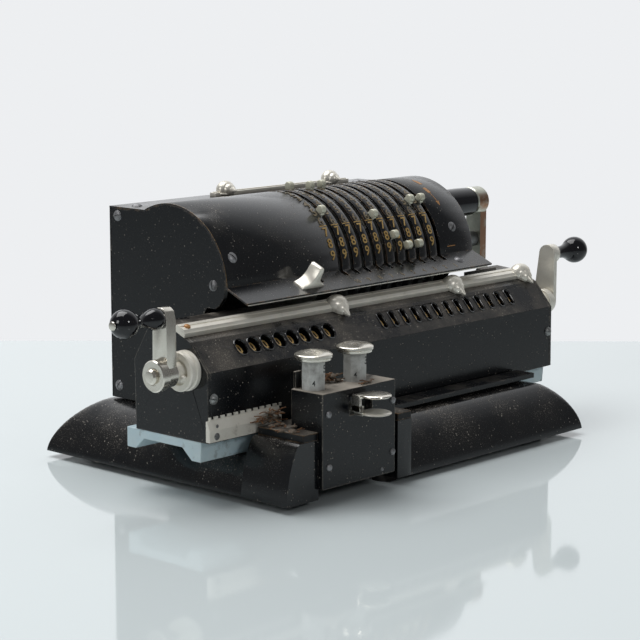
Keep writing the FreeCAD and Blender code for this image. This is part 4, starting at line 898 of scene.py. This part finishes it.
def dress_base():
    across = base_lines((SIDE_CURVE, LUG_CURVE), BASE_LEFT, BASE_RIGHT,
                        (NOTCH_LEFT, NOTCH_RIGHT, POST_RIGHT))
    along = base_lines((SIDE_CURVE, FRONT_CURVE), -HALF_DEPTH, HALF_DEPTH,
                       (NOTCH_BACK, LUG_BACK, TROUGH_FRONT, TROUGH_BACK))
    along = sorted(set(along) | {-98.04})
    shape = bmesh.new()
    bmesh.ops.create_grid(shape, x_segments=len(across) - 1, y_segments=len(along) - 1, size=1.0)
    for vert in shape.verts:
        column = round((vert.co.x + 1) / 2 * (len(across) - 1))
        row = round((vert.co.y + 1) / 2 * (len(along) - 1))
        x, y = across[column], along[row]
        vert.co = at(x, y, base_height(x, y) if not in_notch(x, y) else FOOT_LINE)
    hidden = [face for face in shape.faces
              if all(vert.co.z < at(0, 0, 0.001).z for vert in face.verts)]
    bmesh.ops.delete(shape, geom=hidden, context="FACES")
    rim = [edge for edge in shape.edges if edge.is_boundary]
    bmesh.ops.contextual_create(shape, geom=rim)
    piece("base_form", shape, ENAMEL_BASE, "frame", ("base_casing",))


# Fine fittings

def pipe(shape, points, radius, closed=False):
    """A round bead along a path of places."""
    curve = bpy.data.curves.new("pipe", "CURVE")
    curve.dimensions = "3D"
    line = curve.splines.new("POLY")
    line.points.add(len(points) - 1)
    for point, place in zip(line.points, points):
        point.co = (*at(*place), 1.0)
    line.use_cyclic_u = closed
    curve.bevel_depth = radius * MM
    curve.bevel_resolution = 1
    curve.use_fill_caps = not closed
    holder = bpy.data.objects.new("pipe", curve)
    bpy.context.scene.collection.objects.link(holder)
    view = bpy.context.evaluated_depsgraph_get()
    mesh = bpy.data.meshes.new_from_object(holder.evaluated_get(view))
    shape.from_mesh(mesh)
    bpy.data.objects.remove(holder)
    bpy.data.meshes.remove(mesh)


def dress_windows():
    """The raised lips round the number windows."""
    up = Vector((0, KNEE_Y + 59.3, KNEE_Z - 69.9)).normalized()
    off = Vector((0, -up.z, up.y))
    middle = Vector((0, WINDOW_Y, WINDOW_Z)) + off * 0.12
    shape = bmesh.new()
    for first, count, wide, tall in ((RESULT_FIRST, RESULT_COUNT, 2.45, 5.5),
                                     (COUNTER_FIRST, COUNTER_COUNT, 4.15, 5.05)):
        for index in range(count):
            centre = middle + Vector((first + PITCH * index, 0, 0))
            path = []
            for step in range(24):
                angle = math.tau * (step + 0.5) / 24
                rise = math.sin(angle) * wide + math.copysign(tall - wide, math.sin(angle))
                path.append(centre + Vector((math.cos(angle) * wide, 0, 0)) + up * rise)
            pipe(shape, path, 0.42, True)
    piece("window_lips", shape, ENAMEL_GLOSS, "carriage")


def dress_rail():
    shape = bmesh.new()
    block(shape, (-30.0, 60.0, 144.7), (90.0, 65.0, 147.2), 0.35)
    block(shape, (-29.0, 61.6, 147.0), (89.0, 63.4, 147.7), 0.2)
    piece("top_rail_bar", shape, NICKEL, "frame", ("top_marker_rail",))
    rim = bmesh.new()
    pipe(rim, [(-105.4, *on_drum(COVER_RADIUS - 0.2, angle)) for angle in range(2, 108, 3)], 0.24)
    pipe(rim, [(110.2, *on_drum(COVER_RADIUS - 0.2, angle)) for angle in range(2, 108, 3)], 0.2)
    piece("bare_rim", rim, BRASS, "frame")
    lip = bmesh.new()
    block(lip, (98.0, -30.6, 90.3), (129.4, -29.6, 94.3), 0.2)
    piece("rear_lip", lip, ENAMEL_CARRIAGE, "carriage")


CLUMPS = (((-84.0, -81.5, 58.2), (8, 3.0, 4.5), 28, 9), ((-113.0, -66.6, 38.5), (9, 1.0, 6.0), 34, 9),
          ((-116.0, -80.0, 37.2), (6, 10, 1.2), 16, 6), ((-70.0, -97.6, 58.2), (7, 1.5, 0.8), 6, 6))
REAR_LIMIT = -63.7


def dress_debris():
    """Dry straw and lint caught round the buttons and on the ledge."""
    chance = random.Random(11)
    straws = bmesh.new()
    lint = bmesh.new()
    for spot, spread, count, length in CLUMPS:
        for index in range(count):
            place = Vector(spot) + Vector([chance.uniform(-size, size) for size in spread[:2]]
                                          + [chance.uniform(0.2, spread[2])])
            heading = chance.uniform(0, math.tau)
            climb = chance.uniform(-0.1, 0.55)
            points = []
            for _ in range(6):
                points.append(place.copy())
                heading += chance.uniform(-0.6, 0.6)
                climb = climb * 0.7 + chance.uniform(-0.25, 0.2)
                ahead = Vector((math.cos(heading), math.sin(heading) * 0.45, climb))
                place += ahead * length * chance.uniform(0.12, 0.2)
                place.z = max(place.z, spot[2] + 0.15)
                place.y = min(place.y, REAR_LIMIT)
            pipe(straws, points, chance.uniform(0.2, 0.42))
            if index % 2 == 0:
                size = chance.uniform(0.6, 2.0)
                place = Matrix.Translation(at(*points[0])) @ Matrix.Diagonal((1.3, 1.0, 0.6, 1))
                bmesh.ops.create_icosphere(lint, subdivisions=2, radius=size * MM, matrix=place)
    piece("dry_straw", straws, STRAW, "frame")
    piece("lint", lint, LINT, "frame")


# Studio

def floor_finish():
    """A pale, slightly glossy table top."""
    p = Paint("pale_table")
    p.shader.inputs["IOR"].default_value = 1.5
    p.shader.inputs["Specular IOR Level"].default_value = 0.5
    return p.finish(rgb(0.63, 0.69, 0.70), 0.05)


YAW = math.radians(47.178)
TABLE_BACK = 0.36
TABLE_SIZE = 3.0


def studio():
    mesh = bpy.data.meshes.new("table")
    shape = bmesh.new()
    turn = Matrix.Rotation(-YAW, 4, "Z")
    shift = Matrix.Translation((0, TABLE_BACK - TABLE_SIZE, 0))
    bmesh.ops.create_grid(shape, x_segments=1, y_segments=1, size=TABLE_SIZE, matrix=turn @ shift)
    shape.to_mesh(mesh)
    shape.free()
    table = bpy.data.objects.new("table", mesh)
    bpy.context.scene.collection.objects.link(table)
    table.data.materials.append(floor_finish())
    world = bpy.data.worlds.new("studio")
    bpy.context.scene.world = world
    world.use_nodes = True
    room_light(world.node_tree)
    lamps = (("overhead", (-0.2, 0.6, 1.7), 1.5, 29), ("left_window", (-1.6, 0.2, 0.7), 0.5, 4),
             ("front_fill", (-0.3, -1.7, 0.9), 0.3, 4))
    for name, spot, size, power in lamps:
        lamp = bpy.data.lights.new(name, "AREA")
        lamp.size = size
        lamp.energy = power
        thing = bpy.data.objects.new(name, lamp)
        thing.location = spot
        aim = Vector((0, 0, 0.08)) - Vector(spot)
        thing.rotation_euler = aim.to_track_quat("-Z", "Y").to_euler()
        bpy.context.scene.collection.objects.link(thing)


def room_light(tree):
    """A room that is bright above and behind the machine and dim on the camera's side."""
    back = tree.nodes["Background"]
    toward = tree.nodes.new("ShaderNodeTexCoord").outputs["Generated"]
    split = tree.nodes.new("ShaderNodeSeparateXYZ")
    tree.links.new(toward, split.inputs[0])
    facing = tree.nodes.new("ShaderNodeVectorMath")
    facing.operation = "DOT_PRODUCT"
    facing.inputs[1].default_value = (math.sin(YAW) * 0.92, math.cos(YAW) * 0.92, 0.4)
    tree.links.new(toward, facing.inputs[0])
    level = tree.nodes.new("ShaderNodeMapRange")
    level.inputs["From Min"].default_value = 0.42
    level.inputs["From Max"].default_value = 0.95
    level.inputs["To Min"].default_value = 0.15
    level.inputs["To Max"].default_value = 1.0
    tree.links.new(facing.outputs["Value"], level.inputs["Value"])
    path = tree.nodes.new("ShaderNodeLightPath")
    seen = tree.nodes.new("ShaderNodeMix")
    seen.data_type = "FLOAT"
    tree.links.new(path.outputs["Is Camera Ray"], seen.inputs[0])
    tree.links.new(level.outputs["Result"], seen.inputs[2])
    seen.inputs[3].default_value = 0.88
    tree.links.new(seen.outputs[0], back.inputs["Strength"])
    back.inputs["Color"].default_value = rgb(0.965, 0.98, 1.0)


def photograph():
    """The camera, where the photograph's own stood."""
    yaw, pitch, roll = YAW, math.radians(9.694), math.radians(0.060)
    ahead = Vector((math.cos(pitch) * math.sin(yaw), math.cos(pitch) * math.cos(yaw),
                    -math.sin(pitch)))
    right = Vector((math.cos(yaw), -math.sin(yaw), 0.0))
    up = right.cross(ahead)
    turned = right * math.cos(roll) + up * math.sin(roll)
    upright = up * math.cos(roll) - right * math.sin(roll)
    camera = bpy.data.cameras.new("camera")
    camera.lens = 115.36
    camera.sensor_width = 36.0
    camera.clip_start = 0.01
    thing = bpy.data.objects.new("camera", camera)
    turn = Matrix((turned, upright, -ahead)).transposed()
    thing.matrix_world = Matrix.Translation(at(-890.5, -823.5, 280.0)) @ turn.to_4x4()
    bpy.context.scene.collection.objects.link(thing)
    bpy.context.scene.camera = thing


dress_nodes()
dress_base()
dress_cover()
dress_levers()
dress_wheels()
dress_carriage()
dress_clearing_cranks()
dress_main_crank()
dress_shift_buttons()
dress_screws()
dress_windows()
dress_rail()
dress_debris()
studio()
photograph()
bpy.context.scene.view_settings.view_transform = "Standard"
